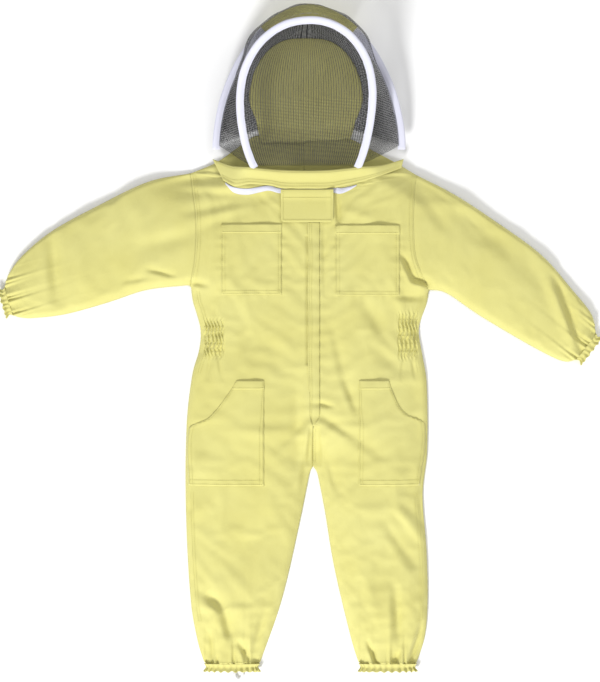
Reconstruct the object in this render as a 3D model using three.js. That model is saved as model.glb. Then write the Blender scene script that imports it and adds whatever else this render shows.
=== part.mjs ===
// Child's beekeeping suit, laid flat on its back.
// Millimetres. +Z rises out of the front of the suit, +Y runs towards the hood and +X to the right
// as the suit is looked down on. Left and right are as seen from there.
import * as THREE from 'three';

// ---------------------------------------------------------------- driving dimensions
const CLOTH = 1.6;              // cotton, drawn as one stiff layer
const BACK_CLOTH = 2.0;         // back panels, the layer that lies on the floor
const VEIL = 1.2;               // insect mesh
const GAP = 0.3;                // clearance between touching pieces

const SIDE_LEFT = -217;         // side seams at the underarm
const SIDE_RIGHT = 258;
const WAIST_NIP = 20;           // how far the waist elastic pulls each side in
const HIP_LEFT = -227;          // side seams over the hips and thighs
const HIP_RIGHT = 255;
const TORSO_RISE = 34;          // outer surface of the front above the floor
const LEG_RISE = 28;
const HEM_RISE = 20;
const WAIST_Y = 15;
const CROTCH_X = 27;
const CROTCH_Y = -249;
const HEM_Y = -642;             // where the ankle hem starts
const HEM_LENGTH = 15;
const HEM_INNER_LEFT = -79;     // inner ends of the two ankle hems
const HEM_INNER_RIGHT = 118;
const HEM_OUTER_LEFT = -190;
const HEM_OUTER_RIGHT = 234;

const ARM_LEFT = new THREE.Vector2(-310, 222);    // centres of the round armholes
const ARM_RIGHT = new THREE.Vector2(351, 208);
const ARM_RADIUS = 147;
const ARM_GAP = 1.3;
const ARM_HALF_ANGLE = THREE.MathUtils.degToRad(51);
const SLEEVE_RISE = 30;
const WRIST_RISE = 20;
const CUFF_LENGTH = 12;
const ELASTIC_RISE = 12;        // flattened height of the gathered elastic channels
const ELASTIC_WALL = 1.2;
const ELASTIC_WIDTH = 6;

const NECK_CENTRE_Y = 917;      // centre of the shallow arc that the neck zip follows
const NECK_RADIUS = 605;
const NECK_HALF_WIDTH = 143;
const NECK_SIDE = new THREE.Vector2(-163, 366);   // where collar and left shoulder meet
const NECK_SIDE_RIGHT = new THREE.Vector2(192, 358);
const BACK_NECK_Y = 411;
const BACK_NECK_HALF = 92;
const SHOULDER_DROP = 60;       // length over which the front sinks to the shoulder seam
const TAPE_WIDTH = 15;
const TAPE = 1.0;
const TEETH = 1.7;

const ZIP_X = 31;               // centre line of the front zip
const ZIP_SLOT = 20;
const ZIP_BOTTOM = -168;
const ZIP_TOP = 302;
const ZIP_DEPTH = 7;            // tape below the surface of the front
const TEETH_WIDTH = 5;
const SLIDER_WIDTH = 10;
const SLIDER_LENGTH = 14;
const SLIDER_HEIGHT = 2.7;
const PULL_LENGTH = 22;
const PULL_WIDTH = 6;
const PULL = 1.2;

const PLACKET_TOP = 232;
const PLACKET_OVERLAP = 4;      // flap past the slot on its free side
const FLAP_CLOTH = 1.4;
const NECK_FLAP_LEFT = -37;
const NECK_FLAP_RIGHT = 67;
const NECK_FLAP_BOTTOM = 236;
const NECK_FLAP_RISE = 2.5;     // flap above the front, over the hook-and-loop patches
const PATCH = 0.8;

const POCKET_CLOTH = 1.4;
const POCKET_GAP = 2.2;         // pockets clear the facets of the front
const CHEST_POCKET_TOP = 232;
const CHEST_POCKET_BOTTOM = 93;
const HIP_POCKET_TOP = -78;
const HIP_POCKET_BOTTOM = -287;

const WAIST_ELASTIC_WIDTH = 38;
const WAIST_ELASTIC_INSET = 22;
const WAIST_ELASTIC_REACH = 48;
const LOOP_WIDTH = 16;
const LOOP_BAND = 6;
const LOOP_CLOTH = 1.2;
const LOOP_Z = 4;
const COLLAR_FLAT_HALF = 132;
const COLLAR_LAP = 8;            // collar past the zip line
const CROWN_BULGE = 22;
const COLLAR_Z = TORSO_RISE + 8; // underside of the collar over the front of the neck
const COLLAR_END_Z = 16;
const COLLAR_CENTRE_X = 14;     // the collar slopes down to both sides of this
const HOOP_ROD = 4;             // diameter of the spring hoops
const CASING_WIDTH = 16;
const CASING_HEIGHT = 6;
const HOOP_AXIS_Y = 338;
const HOOP_AXIS_Z = COLLAR_Z + 8;
const FACE_HOOP_X = 13;
const FACE_HOOP_HALF = 128;
const FACE_HOOP_HEIGHT = 305;
const FACE_HOOP_WAIST = 144;    // height of its widest point
const FACE_HOOP_TILT = THREE.MathUtils.degToRad(28);
const FACE_HOOP_LEAN = 0.05;
const REAR_HOOP_X = 19;
const REAR_HOOP_HALF = 184;
const REAR_HOOP_FOOT_Y = 381;
const REAR_HOOP_TOP_Y = 650;
const REAR_HOOP_FOOT_Z = 28;
const REAR_HOOP_TOP_Z = 78;
const HOOD_BACK_TOP_Y = 606;
const HOOD_BACK_BOTTOM_Y = BACK_NECK_Y + 3;
const HOOD_BACK_HALF = 101;
const CROWN_FROM = 0.33;        // share of the arch where the cotton crown starts and ends
const CROWN_TO = 0.67;
const CROWN_FOOT = 0.34;
const BAND_BULGE = 16;

// ---------------------------------------------------------------- small tools
const clamp = THREE.MathUtils.clamp;
const mix = THREE.MathUtils.lerp;
const ease = (value, from, to) => THREE.MathUtils.smoothstep(value, from, to);
const point = (x, y, z) => new THREE.Vector3(x, y, z);

// smooth curve y -> x through a few stations given from low y to high y
function profile(stations) {
  const curve = new THREE.CatmullRomCurve3(stations.map(([y, x]) => point(x, y, 0)), false, 'centripetal');
  return (y) => {
    const last = stations.length - 1;
    const wanted = clamp(y, stations[0][0], stations[last][0]);
    let low = 0;
    let high = 1;
    for (let step = 0; step < 30; step += 1) {
      const middle = (low + high) / 2;
      if (curve.getPoint(middle).y < wanted) low = middle;
      else high = middle;
    }
    return curve.getPoint((low + high) / 2).x;
  };
}

function solid(points, triangles) {
  let volume = 0;
  for (const [a, b, c] of triangles) {
    volume += points[a].dot(points[b].clone().cross(points[c]));
  }
  const facing = volume > 0 ? triangles : triangles.map(([a, b, c]) => [a, c, b]);
  const geometry = new THREE.BufferGeometry();
  const coordinates = points.flatMap((p) => p.toArray());
  geometry.setAttribute('position', new THREE.Float32BufferAttribute(coordinates, 3));
  geometry.setIndex(facing.flat());
  geometry.computeVertexNormals();
  return geometry;
}

// closed solid between an upper and a lower grid; both map (u, v) in 0..1 to a point
function slab(upper, lower, columns, rows) {
  const points = [];
  const triangles = [];
  const across = columns + 1;
  const layer = across * (rows + 1);
  for (const surface of [upper, lower]) {
    for (let row = 0; row <= rows; row += 1) {
      for (let column = 0; column <= columns; column += 1) {
        points.push(surface(column / columns, row / rows));
      }
    }
  }
  const quad = (a, b, c, d) => triangles.push([a, b, c], [a, c, d]);
  for (let row = 0; row < rows; row += 1) {
    for (let column = 0; column < columns; column += 1) {
      const a = row * across + column;
      quad(a, a + 1, a + across + 1, a + across);
      quad(layer + a, layer + a + across, layer + a + across + 1, layer + a + 1);
    }
  }
  const wall = (a, b) => quad(b, a, layer + a, layer + b);
  const topRow = rows * across;
  for (let column = 0; column < columns; column += 1) {
    wall(column, column + 1);
    wall(topRow + column + 1, topRow + column);
  }
  for (let row = 0; row < rows; row += 1) {
    wall((row + 1) * across, row * across);
    wall(row * across + columns, (row + 1) * across + columns);
  }
  return solid(points, triangles);
}

// hollow sleeve between two closed rings swept along v; both ends stay open
function pipe(outer, inner, around, along) {
  const points = [];
  const triangles = [];
  const layer = around * (along + 1);
  for (const surface of [outer, inner]) {
    for (let row = 0; row <= along; row += 1) {
      for (let column = 0; column < around; column += 1) {
        points.push(surface(column / around, row / along));
      }
    }
  }
  const quad = (a, b, c, d) => triangles.push([a, b, c], [a, c, d]);
  for (let column = 0; column < around; column += 1) {
    const next = (column + 1) % around;
    for (let row = 0; row < along; row += 1) {
      const low = row * around;
      const high = low + around;
      quad(low + column, low + next, high + next, high + column);
      quad(layer + low + column, layer + high + column, layer + high + next, layer + low + next);
    }
    const end = along * around;
    quad(next, column, layer + column, layer + next);
    quad(end + column, end + next, layer + end + next, layer + end + column);
  }
  return solid(points, triangles);
}

const finishes = {
  cotton: { color: 0xe3e08f, roughness: 0.9, metalness: 0 },
  white: { color: 0xeceef5, roughness: 0.85, metalness: 0 },
  veil: { color: 0x1b1b1d, roughness: 0.7, metalness: 0 },
  plastic: { color: 0xf1f1ee, roughness: 0.4, metalness: 0 },
  steel: { color: 0xb9bcc0, roughness: 0.35, metalness: 0.9 },
  rubber: { color: 0xf4f4f0, roughness: 0.8, metalness: 0 },
};

const suit = new THREE.Group();

function add(name, geometry, finish) {
  const mesh = new THREE.Mesh(geometry, new THREE.MeshStandardMaterial(finishes[finish]));
  mesh.name = name;
  suit.add(mesh);
}

// block between two opposite corners
function block(name, low, high, finish) {
  const size = high.clone().sub(low);
  const geometry = new THREE.BoxGeometry(size.x, size.y, size.z);
  geometry.translate(low.x + size.x / 2, low.y + size.y / 2, low.z + size.z / 2);
  add(name, geometry, finish);
}

// ---------------------------------------------------------------- outline of the coverall
const sideLeft = profile([
  [HEM_Y, HEM_OUTER_LEFT], [-600, -203], [-520, -217], [-330, HIP_LEFT], [-160, -225],
  [-60, -213], [WAIST_Y, SIDE_LEFT + WAIST_NIP], [70, -211], [113, SIDE_LEFT],
]);
const sideRight = profile([
  [HEM_Y, HEM_OUTER_RIGHT], [-590, 250], [-520, HIP_RIGHT + 1], [-420, 254], [-305, 246], [-220, HIP_RIGHT],
  [-80, 254], [WAIST_Y, SIDE_RIGHT - WAIST_NIP / 2 + 3], [60, 250], [95, SIDE_RIGHT],
]);
const inseamLeft = profile([[HEM_Y, HEM_INNER_LEFT], [-521, -37], [CROTCH_Y, CROTCH_X - 4]]);
const inseamRight = profile([[HEM_Y, HEM_INNER_RIGHT], [-593, 103], [-449, 69], [CROTCH_Y, CROTCH_X + 6]]);

const FOLD_Z = BACK_CLOTH + GAP + CLOTH;          // outer surface where front meets back
const legTop = (y) => mix(HEM_RISE, LEG_RISE, ease(y, HEM_Y, HEM_Y + 120));
const swell = (share, fullness) => Math.min(1, (fullness * Math.sin(Math.PI * clamp(share, 0, 1))) ** 0.7);

// shoulder seam height at x, on either side of the neck
function shoulderY(x) {
  const armLeft = new THREE.Vector2(SIDE_LEFT, ARM_LEFT.y + ARM_RADIUS * Math.sin(ARM_HALF_ANGLE));
  const armRight = new THREE.Vector2(SIDE_RIGHT, ARM_RIGHT.y + ARM_RADIUS * Math.sin(ARM_HALF_ANGLE));
  const slopeLeft = (NECK_SIDE.y - armLeft.y) / (NECK_SIDE.x - armLeft.x);
  const slopeRight = (NECK_SIDE_RIGHT.y - armRight.y) / (NECK_SIDE_RIGHT.x - armRight.x);
  return Math.min(armLeft.y + slopeLeft * (x - armLeft.x), armRight.y + slopeRight * (x - armRight.x));
}

// outer surface of the front above the floor
function frontZ(x, y) {
  const left = sideLeft(y);
  const right = sideRight(y);
  const drop = clamp((shoulderY(x) - y) / SHOULDER_DROP, 0, 1) ** 0.7;
  const torso = mix(FOLD_Z, TORSO_RISE, swell((x - left) / (right - left), 1.5) * drop);
  const onLeft = x < CROTCH_X;
  const inner = onLeft ? inseamLeft(y) : inseamRight(y);
  const share = onLeft ? (x - left) / (inner - left) : (right - x) / (right - inner);
  const leg = mix(FOLD_Z, legTop(y), swell(share, 1.25));
  return mix(leg, torso, ease(y, CROTCH_Y, ZIP_BOTTOM));
}

const slotOpening = (y) => ease(y, ZIP_BOTTOM - 14, ZIP_BOTTOM - 2);
const slotLeft = (y) => mix(CROTCH_X - GAP / 2, ZIP_X - ZIP_SLOT / 2, slotOpening(y));
const slotRight = (y) => mix(CROTCH_X + GAP / 2, ZIP_X + ZIP_SLOT / 2, slotOpening(y));
const neckArcY = (x, radius) => NECK_CENTRE_Y - Math.sqrt(radius * radius - x * x);
const PANEL_TOP_RADIUS = NECK_RADIUS + 4;

// point of an armhole at an angle from straight towards the body
function armhole(side, radius, angle) {
  const centre = side < 0 ? ARM_LEFT : ARM_RIGHT;
  return new THREE.Vector2(centre.x - side * radius * Math.cos(angle), centre.y + radius * Math.sin(angle));
}

// rows of one half of the coverall, hem to neck: outer end, inner end and how much of the neckline bow
function halfRows(side, innerAt, neckInner) {
  const outer = side < 0 ? sideLeft : sideRight;
  const inseam = side < 0 ? inseamLeft : inseamRight;
  const rows = [];
  const legRows = 10;
  for (let row = 0; row <= legRows; row += 1) {
    const y = mix(HEM_Y, CROTCH_Y, row / legRows);
    const inner = row === legRows ? innerAt(y) : inseam(y);
    rows.push({ outer: new THREE.Vector2(outer(y), y), inner: new THREE.Vector2(inner, y), bow: 0 });
  }
  const underarm = armhole(side, ARM_RADIUS, -ARM_HALF_ANGLE);
  const torsoYs = [-215, ZIP_BOTTOM - 16, ZIP_BOTTOM - 1, -110, -50, -10, WAIST_Y + 10, 65];
  for (const y of torsoYs) {
    rows.push({ outer: new THREE.Vector2(outer(y), y), inner: new THREE.Vector2(innerAt(y), y), bow: 0 });
  }
  const armRows = 8;
  for (let row = 0; row <= armRows; row += 1) {
    const angle = mix(-ARM_HALF_ANGLE, ARM_HALF_ANGLE, row / armRows);
    const y = mix(underarm.y, neckInner - 40, row / armRows);
    rows.push({ outer: armhole(side, ARM_RADIUS, angle), inner: new THREE.Vector2(innerAt(y), y), bow: 0 });
  }
  return rows;
}

function rowPoint(rows, u, v) {
  const index = Math.min(rows.length - 1, Math.round(v * (rows.length - 1)));
  const row = rows[index];
  const straightY = mix(row.outer.y, row.inner.y, u);
  return new THREE.Vector2(mix(row.outer.x, row.inner.x, u), straightY + row.bow * row.shape(u));
}

// ---------------------------------------------------------------- coverall panels
const PANEL_COLUMNS = 8;

function frontPanel(side) {
  const innerAt = side < 0 ? slotLeft : slotRight;
  const neckInner = neckArcY(innerAt(ZIP_TOP), PANEL_TOP_RADIUS);
  const rows = halfRows(side, innerAt, neckInner);
  const neckSide = side < 0 ? NECK_SIDE : NECK_SIDE_RIGHT;
  const corner = armhole(side, ARM_RADIUS, ARM_HALF_ANGLE);
  const innerX = innerAt(ZIP_TOP);
  // the neckline runs down from the shoulder and then along the zip arc
  const cornerShare = clamp((side * NECK_HALF_WIDTH - neckSide.x) / (innerX - neckSide.x), 0.01, 0.5);
  const neckline = (u) => {
    const x = mix(neckSide.x, innerX, u);
    const arcY = neckArcY(x, PANEL_TOP_RADIUS);
    const steep = clamp(1 - u / cornerShare, 0, 1);
    return mix(arcY, neckSide.y, steep) - mix(neckSide.y, neckInner, u);
  };
  for (const share of [0.35, 0.7, 1]) {
    rows.push({
      outer: corner.clone().lerp(neckSide, share),
      inner: new THREE.Vector2(innerX, mix(neckInner - 40, neckInner, share)),
      bow: share,
      shape: neckline,
    });
  }
  const flat = () => 0;
  for (const row of rows) row.shape ??= flat;
  const surface = (lift) => (u, v) => {
    // one column sits on the corner of the neckline
    const spread = u <= 0.25 ? (u / 0.25) * cornerShare : mix(cornerShare, 1, (u - 0.25) / 0.75);
    const even = mix(u, spread, ease(v, 0.8, 1));
    const at = rowPoint(rows, even, v);
    return point(at.x, at.y, Math.max(frontZ(at.x, at.y), FOLD_Z) + lift);
  };
  add(side < 0 ? 'front_left_panel' : 'front_right_panel',
    slab(surface(0), surface(-CLOTH), PANEL_COLUMNS, rows.length - 1), 'cotton');
}

function backPanel(side) {
  const seam = (y) => mix(CROTCH_X + (side * GAP) / 2, 8 + (side * GAP) / 2, ease(y, CROTCH_Y, 200));
  const rows = halfRows(side, seam, BACK_NECK_Y);
  const neckSide = side < 0 ? NECK_SIDE : NECK_SIDE_RIGHT;
  const corner = armhole(side, ARM_RADIUS, ARM_HALF_ANGLE);
  const neckX = side * BACK_NECK_HALF;
  const rise = (u) => {
    const level = clamp((u * (seam(BACK_NECK_Y) - neckSide.x)) / (neckX - neckSide.x), 0, 1);
    return mix(neckSide.y, BACK_NECK_Y, level) - mix(neckSide.y, BACK_NECK_Y, u);
  };
  for (const share of [0.5, 1]) {
    rows.push({
      outer: corner.clone().lerp(neckSide, share),
      inner: new THREE.Vector2(seam(BACK_NECK_Y), mix(BACK_NECK_Y - 40, BACK_NECK_Y, share)),
      bow: share,
      shape: rise,
    });
  }
  const flat = () => 0;
  for (const row of rows) row.shape ??= flat;
  const surface = (z) => (u, v) => {
    const at = rowPoint(rows, u, v);
    return point(at.x, at.y, z);
  };
  add(side < 0 ? 'back_left_panel' : 'back_right_panel',
    slab(surface(BACK_CLOTH), surface(0), 4, rows.length - 1), 'cotton');
}

for (const side of [-1, 1]) {
  frontPanel(side);
  backPanel(side);
}

// ---------------------------------------------------------------- patch pockets on the front
// outline given by its left and right edge from bottom to top
function pocket(name, bottom, top, leftAt, rightAt, columns, rows, mouth) {
  const surface = (lift) => (u, v) => {
    const y = mix(bottom, top, v);
    const x = mix(leftAt(y), rightAt(y), u);
    const gape = mouth * ease(v, 0.5, 1) * Math.sin(Math.PI * u);
    return point(x, y, frontZ(x, y) + POCKET_GAP + lift + gape);
  };
  add(name, slab(surface(POCKET_CLOTH), surface(0), columns, rows), 'cotton');
}

pocket('chest_pocket_left', CHEST_POCKET_BOTTOM, CHEST_POCKET_TOP, () => -155, () => -35, 5, 6, 2);
pocket('chest_pocket_right', CHEST_POCKET_BOTTOM - 2, CHEST_POCKET_TOP - 2, () => 71, () => 199, 5, 6, 4);

const hipMouthLeft = profile([
  [HIP_POCKET_BOTTOM, -222], [-171, -220], [-153, -183], [-103, -141], [HIP_POCKET_TOP, -125],
]);
const hipMouthRight = profile([
  [HIP_POCKET_BOTTOM, 240], [-163, 250], [-145, 214], [-120, 194], [HIP_POCKET_TOP, 177],
]);
pocket('hip_pocket_left', HIP_POCKET_BOTTOM, HIP_POCKET_TOP, hipMouthLeft, () => -70, 7, 9, 1.5);
pocket('hip_pocket_right', HIP_POCKET_BOTTOM, HIP_POCKET_TOP, () => 118, hipMouthRight, 7, 9, 1.5);

// ---------------------------------------------------------------- flattened rings for cuffs and elastics
// ring in the upright plane over the line from one edge to the other
function ringPoint(edgeA, edgeB, rise, floor, angle, inset) {
  const middle = edgeA.clone().add(edgeB).multiplyScalar(0.5);
  const half = edgeA.clone().sub(edgeB).multiplyScalar(0.5);
  const shrink = 1 - inset / half.length();
  const turn = angle * Math.PI * 2;
  const height = Math.sign(Math.sin(turn)) * Math.abs(Math.sin(turn)) ** 0.6;
  const across = middle.add(half.multiplyScalar(Math.cos(turn) * shrink));
  return point(across.x, across.y, floor + rise / 2 + (rise / 2 - inset) * height);
}

// stations: [edge a, edge b, rise, floor] from one end to the other
function flatTube(name, stations, wall, around, finish) {
  const at = (inset) => (u, v) => {
    const [edgeA, edgeB, rise, floor] = stations[Math.round(v * (stations.length - 1))];
    return ringPoint(edgeA, edgeB, rise, floor, u, inset);
  };
  add(name, pipe(at(0), at(wall), around, stations.length - 1), finish);
}

const at2 = (x, y) => new THREE.Vector2(x, y);

// ---------------------------------------------------------------- sleeves
const sleeveShape = {
  left: {
    side: -1,
    top: [[-303, 319], [-403, 271], [-491, 223], [-549, 175], [-576, 140]],
    bottom: [[-305, 103], [-379, 79], [-465, 55], [-530, 48], [-560, 50]],
    wrist: [[-584, 106], [-567, 56]],
  },
  right: {
    side: 1,
    top: [[307, 295], [381, 247], [481, 175], [545, 103], [583, 55]],
    bottom: [[283, 103], [355, 55], [435, 7], [497, -27], [528, -38]],
    wrist: [[587, 18], [549, -34]],
  },
};

function sleeve(name, shape) {
  const { side } = shape;
  const radius = ARM_RADIUS - ARM_GAP;
  const topRoot = armhole(side, radius, ARM_HALF_ANGLE);
  const bottomRoot = armhole(side, radius, -ARM_HALF_ANGLE);
  const wristTop = at2(...shape.wrist[0]);
  const wristBottom = at2(...shape.wrist[1]);
  const edge = (root, stops, wrist) => {
    const between = stops.map(([x, y]) => at2(x, y));
    return new THREE.SplineCurve([root, ...between, wrist]);
  };
  const top = edge(topRoot, shape.top, wristTop);
  const bottom = edge(bottomRoot, shape.bottom, wristBottom);
  const around = 16;
  const along = 12;
  const at = (inset) => (u, v) => {
    const rise = mix(SLEEVE_RISE, WRIST_RISE, v ** 1.5);
    const tight = mix(rise, ELASTIC_RISE + 2, ease(v, 0.85, 1));
    const ring = ringPoint(top.getPoint(v), bottom.getPoint(v), tight, 0, u, inset);
    const across = Math.cos(u * Math.PI * 2);
    const arc = armhole(side, radius, across * ARM_HALF_ANGLE);
    const chord = topRoot.clone().add(bottomRoot).multiplyScalar(0.5)
      .add(topRoot.clone().sub(bottomRoot).multiplyScalar(across / 2));
    const round = 1 - ease(v, 0, 0.3);
    return point(ring.x + (arc.x - chord.x) * round, ring.y + (arc.y - chord.y) * round, ring.z);
  };
  add(`sleeve_${name}`, pipe(at(0), at(CLOTH), around, along), 'cotton');
  // the gathered cuff beyond the end of the sleeve, and the elastic inside it
  const across = wristTop.clone().sub(wristBottom);
  const outward = at2(across.y, -across.x).normalize();
  if (outward.x * side < 0) outward.negate();
  const station = (distance, spread, rise) => {
    const push = outward.clone().multiplyScalar(distance);
    const grow = across.clone().normalize().multiplyScalar(spread);
    return [wristTop.clone().add(push).add(grow), wristBottom.clone().add(push).sub(grow), rise, 0];
  };
  flatTube(`wrist_cuff_${name}`, [
    station(GAP, 0, ELASTIC_RISE + 2),
    station(CUFF_LENGTH * 0.5, 0, ELASTIC_RISE),
    station(CUFF_LENGTH, 3, ELASTIC_RISE + 3),
  ], ELASTIC_WALL, 16, 'cotton');
  const snug = ELASTIC_WALL + GAP + 0.3;
  flatTube(`wrist_elastic_${name}`, [
    station(2, -snug, ELASTIC_RISE - 2 * snug),
    station(2 + ELASTIC_WIDTH, -snug, ELASTIC_RISE - 2 * snug),
  ].map(([a, b, rise]) => [a, b, rise, snug + 0.2]), ELASTIC_WALL, 16, 'rubber');
}

sleeve('left', sleeveShape.left);
sleeve('right', sleeveShape.right);

// ---------------------------------------------------------------- ankle hems, elastics and foot loops
function ankle(name, outerX, innerX) {
  const out = Math.sign(outerX - innerX);
  const station = (y, grow, rise, floor) => [
    at2(outerX + out * grow, y), at2(innerX - out * grow, y), rise, floor,
  ];
  const start = HEM_Y - GAP;
  flatTube(`ankle_cuff_${name}`, [
    station(start, 0, HEM_RISE, 0),
    station(start - HEM_LENGTH / 2, -2, HEM_RISE - 4, 0),
    station(start - HEM_LENGTH, 1, HEM_RISE - 2, 0),
  ], ELASTIC_WALL, 16, 'cotton');
  const snug = ELASTIC_WALL + GAP + 0.2;
  flatTube(`ankle_elastic_${name}`, [
    station(start - 3, -snug - 2, HEM_RISE - 4 - 2 * snug, snug),
    station(start - 3 - ELASTIC_WIDTH, -snug - 2, HEM_RISE - 4 - 2 * snug, snug),
  ], ELASTIC_WALL, 16, 'rubber');
}

ankle('left', HEM_OUTER_LEFT, HEM_INNER_LEFT);
ankle('right', HEM_OUTER_RIGHT, HEM_INNER_RIGHT);

// ---------------------------------------------------------------- waist elastics, inside the side seams
for (const side of [-1, 1]) {
  const seam = side < 0 ? sideLeft : sideRight;
  const inner = (y) => seam(y) - side * WAIST_ELASTIC_REACH;
  const outer = (y) => seam(y) - side * WAIST_ELASTIC_INSET;
  const surface = (lift) => (u, v) => {
    const y = mix(WAIST_Y - WAIST_ELASTIC_WIDTH / 2, WAIST_Y + WAIST_ELASTIC_WIDTH / 2, v);
    return point(mix(inner(y), outer(y), u), y, BACK_CLOTH + GAP + lift);
  };
  add(side < 0 ? 'waist_elastic_left' : 'waist_elastic_right',
    slab(surface(ELASTIC_WALL), surface(0), 3, 3), 'rubber');
}

// ---------------------------------------------------------------- foot loops of woven elastic
function footLoop(name, centreX, mouthY, reach) {
  const half = LOOP_WIDTH / 2;
  const bend = new THREE.CatmullRomCurve3([
    point(centreX - half, mouthY, 0), point(centreX - half * 0.9, mouthY - reach * 0.7, 0),
    point(centreX, mouthY - reach, 0), point(centreX + half * 0.9, mouthY - reach * 0.7, 0),
    point(centreX + half, mouthY, 0),
  ]);
  const surface = (lift) => (u, v) => {
    const at = bend.getPoint(v);
    const ahead = bend.getTangent(v);
    const inward = point(ahead.y, -ahead.x, 0).multiplyScalar((u - 0.5) * LOOP_BAND);
    return point(at.x + inward.x, at.y + inward.y, LOOP_Z + lift);
  };
  add(name, slab(surface(LOOP_CLOTH), surface(0), 1, 12), 'white');
}

footLoop('foot_loop_left', -122, HEM_Y - HEM_LENGTH + 1, 20);
footLoop('foot_loop_right', 176, HEM_Y + 44, 22);

// ---------------------------------------------------------------- front zip, sunk between the panels
const tapeZ = TORSO_RISE - ZIP_DEPTH;
const slotHalf = ZIP_SLOT / 2;
const zipTapeInner = TEETH_WIDTH / 2 + GAP;
block('zip_tape_left', point(ZIP_X - slotHalf + GAP, ZIP_BOTTOM, tapeZ),
  point(ZIP_X - zipTapeInner, ZIP_TOP, tapeZ + TAPE), 'white');
block('zip_tape_right', point(ZIP_X + zipTapeInner, ZIP_BOTTOM, tapeZ),
  point(ZIP_X + slotHalf - GAP, ZIP_TOP, tapeZ + TAPE), 'white');
const teethTop = tapeZ + TEETH;
block('zip_teeth', point(ZIP_X - TEETH_WIDTH / 2, ZIP_BOTTOM + 4, tapeZ),
  point(ZIP_X + TEETH_WIDTH / 2, ZIP_TOP, teethTop), 'plastic');
block('zip_bottom_stop', point(ZIP_X - TEETH_WIDTH / 2, ZIP_BOTTOM, tapeZ - 0.4),
  point(ZIP_X + TEETH_WIDTH / 2, ZIP_BOTTOM + 4 - GAP, teethTop + 0.2), 'steel');
const sliderZ = teethTop + GAP + 0.2;
const sliderY = ZIP_TOP - 10;
block('zip_slider', point(ZIP_X - SLIDER_WIDTH / 2, sliderY - SLIDER_LENGTH, sliderZ),
  point(ZIP_X + SLIDER_WIDTH / 2, sliderY, sliderZ + SLIDER_HEIGHT), 'steel');
const pullZ = sliderZ + SLIDER_HEIGHT + GAP;
block('zip_pull', point(ZIP_X - PULL_WIDTH / 2, sliderY - 4 - PULL_LENGTH, pullZ),
  point(ZIP_X + PULL_WIDTH / 2, sliderY - 4, pullZ + PULL), 'steel');

// ---------------------------------------------------------------- placket flap over the front zip
const flapZ = TORSO_RISE + GAP + 0.2;
block('placket_flap', point(ZIP_X - slotHalf - PLACKET_OVERLAP, ZIP_BOTTOM, flapZ),
  point(ZIP_X + slotHalf, PLACKET_TOP, flapZ + FLAP_CLOTH), 'cotton');

// ---------------------------------------------------------------- neck zip, between coverall and hood
// band between two radii of the neck arc, from x to x
function neckBand(name, nearRadius, farRadius, fromX, toX, lowAt, height, finish) {
  const surface = (lift) => (u, v) => {
    const x = mix(fromX, toX, u);
    const radius = mix(farRadius, nearRadius, v);
    const y = neckArcY(x, radius);
    return point(x, y, lowAt(x, y) + lift);
  };
  add(name, slab(surface(height), surface(0), 16, 1), finish);
}

const onFront = (x, y) => frontZ(x, Math.min(y, neckArcY(x, PANEL_TOP_RADIUS))) + GAP + 0.4;
neckBand('neck_zip_suit_tape', NECK_RADIUS + GAP, NECK_RADIUS + TAPE_WIDTH,
  -NECK_HALF_WIDTH + 6, NECK_HALF_WIDTH - 6, onFront, TAPE, 'white');
neckBand('neck_zip_hood_tape', NECK_RADIUS - TAPE_WIDTH, NECK_RADIUS - GAP,
  -NECK_HALF_WIDTH + 6, NECK_HALF_WIDTH - 6, onFront, TAPE, 'white');
const neckTeethZ = (x, y) => onFront(x, y) + TAPE + GAP;
neckBand('neck_zip_teeth', NECK_RADIUS - 2, NECK_RADIUS + 2.5,
  -NECK_HALF_WIDTH + 8, NECK_HALF_WIDTH - 8, neckTeethZ, 0.8, 'plastic');

function neckSlider(name, x) {
  const sliderLow = TORSO_RISE + GAP + 0.4 + TAPE + GAP + 0.8 + GAP + 0.2;
  const y = neckArcY(x, NECK_RADIUS);
  const turn = Math.asin(x / NECK_RADIUS);
  const plate = (label, length, width, low, height, shift, finish) => {
    const geometry = new THREE.BoxGeometry(length, width, height);
    geometry.translate(shift, 0, low + height / 2);
    geometry.rotateZ(turn);
    geometry.translate(x, y, 0);
    add(label, geometry, finish);
  };
  plate(`neck_slider_${name}`, SLIDER_LENGTH, 8, sliderLow, 2.2, 0, 'steel');
  plate(`neck_pull_${name}`, 16, 5, sliderLow + 2.2 + GAP, 1, Math.sign(x) * 6, 'steel');
}

neckSlider('left', -14);
neckSlider('right', 44);

// ---------------------------------------------------------------- collar
const collarZ = (x) => {
  const reach = Math.abs(x - COLLAR_CENTRE_X) - COLLAR_FLAT_HALF;
  return mix(COLLAR_Z, COLLAR_END_Z, clamp(reach / 50, 0, 1) ** 1.3);
};
const collarLow = new THREE.SplineCurve([
  NECK_SIDE.clone().add(at2(-2, -6)), at2(-NECK_HALF_WIDTH - 2, 321),
  at2(-100, neckArcY(100, NECK_RADIUS + COLLAR_LAP)),
  at2(-50, neckArcY(50, NECK_RADIUS + COLLAR_LAP)), at2(0, neckArcY(0, NECK_RADIUS + COLLAR_LAP)),
  at2(60, neckArcY(60, NECK_RADIUS + COLLAR_LAP)), at2(115, neckArcY(115, NECK_RADIUS + COLLAR_LAP)),
  at2(NECK_HALF_WIDTH + 20, 330), NECK_SIDE_RIGHT.clone().add(at2(6, -6)),
]);
const collarHigh = new THREE.SplineCurve([
  at2(-174, 372), at2(-136, 354), at2(-100, 341), at2(-60, HOOP_AXIS_Y - 3), at2(5, HOOP_AXIS_Y - 4),
  at2(70, HOOP_AXIS_Y - 3), at2(120, 341), at2(165, 354), at2(208, 372),
]);
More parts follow.
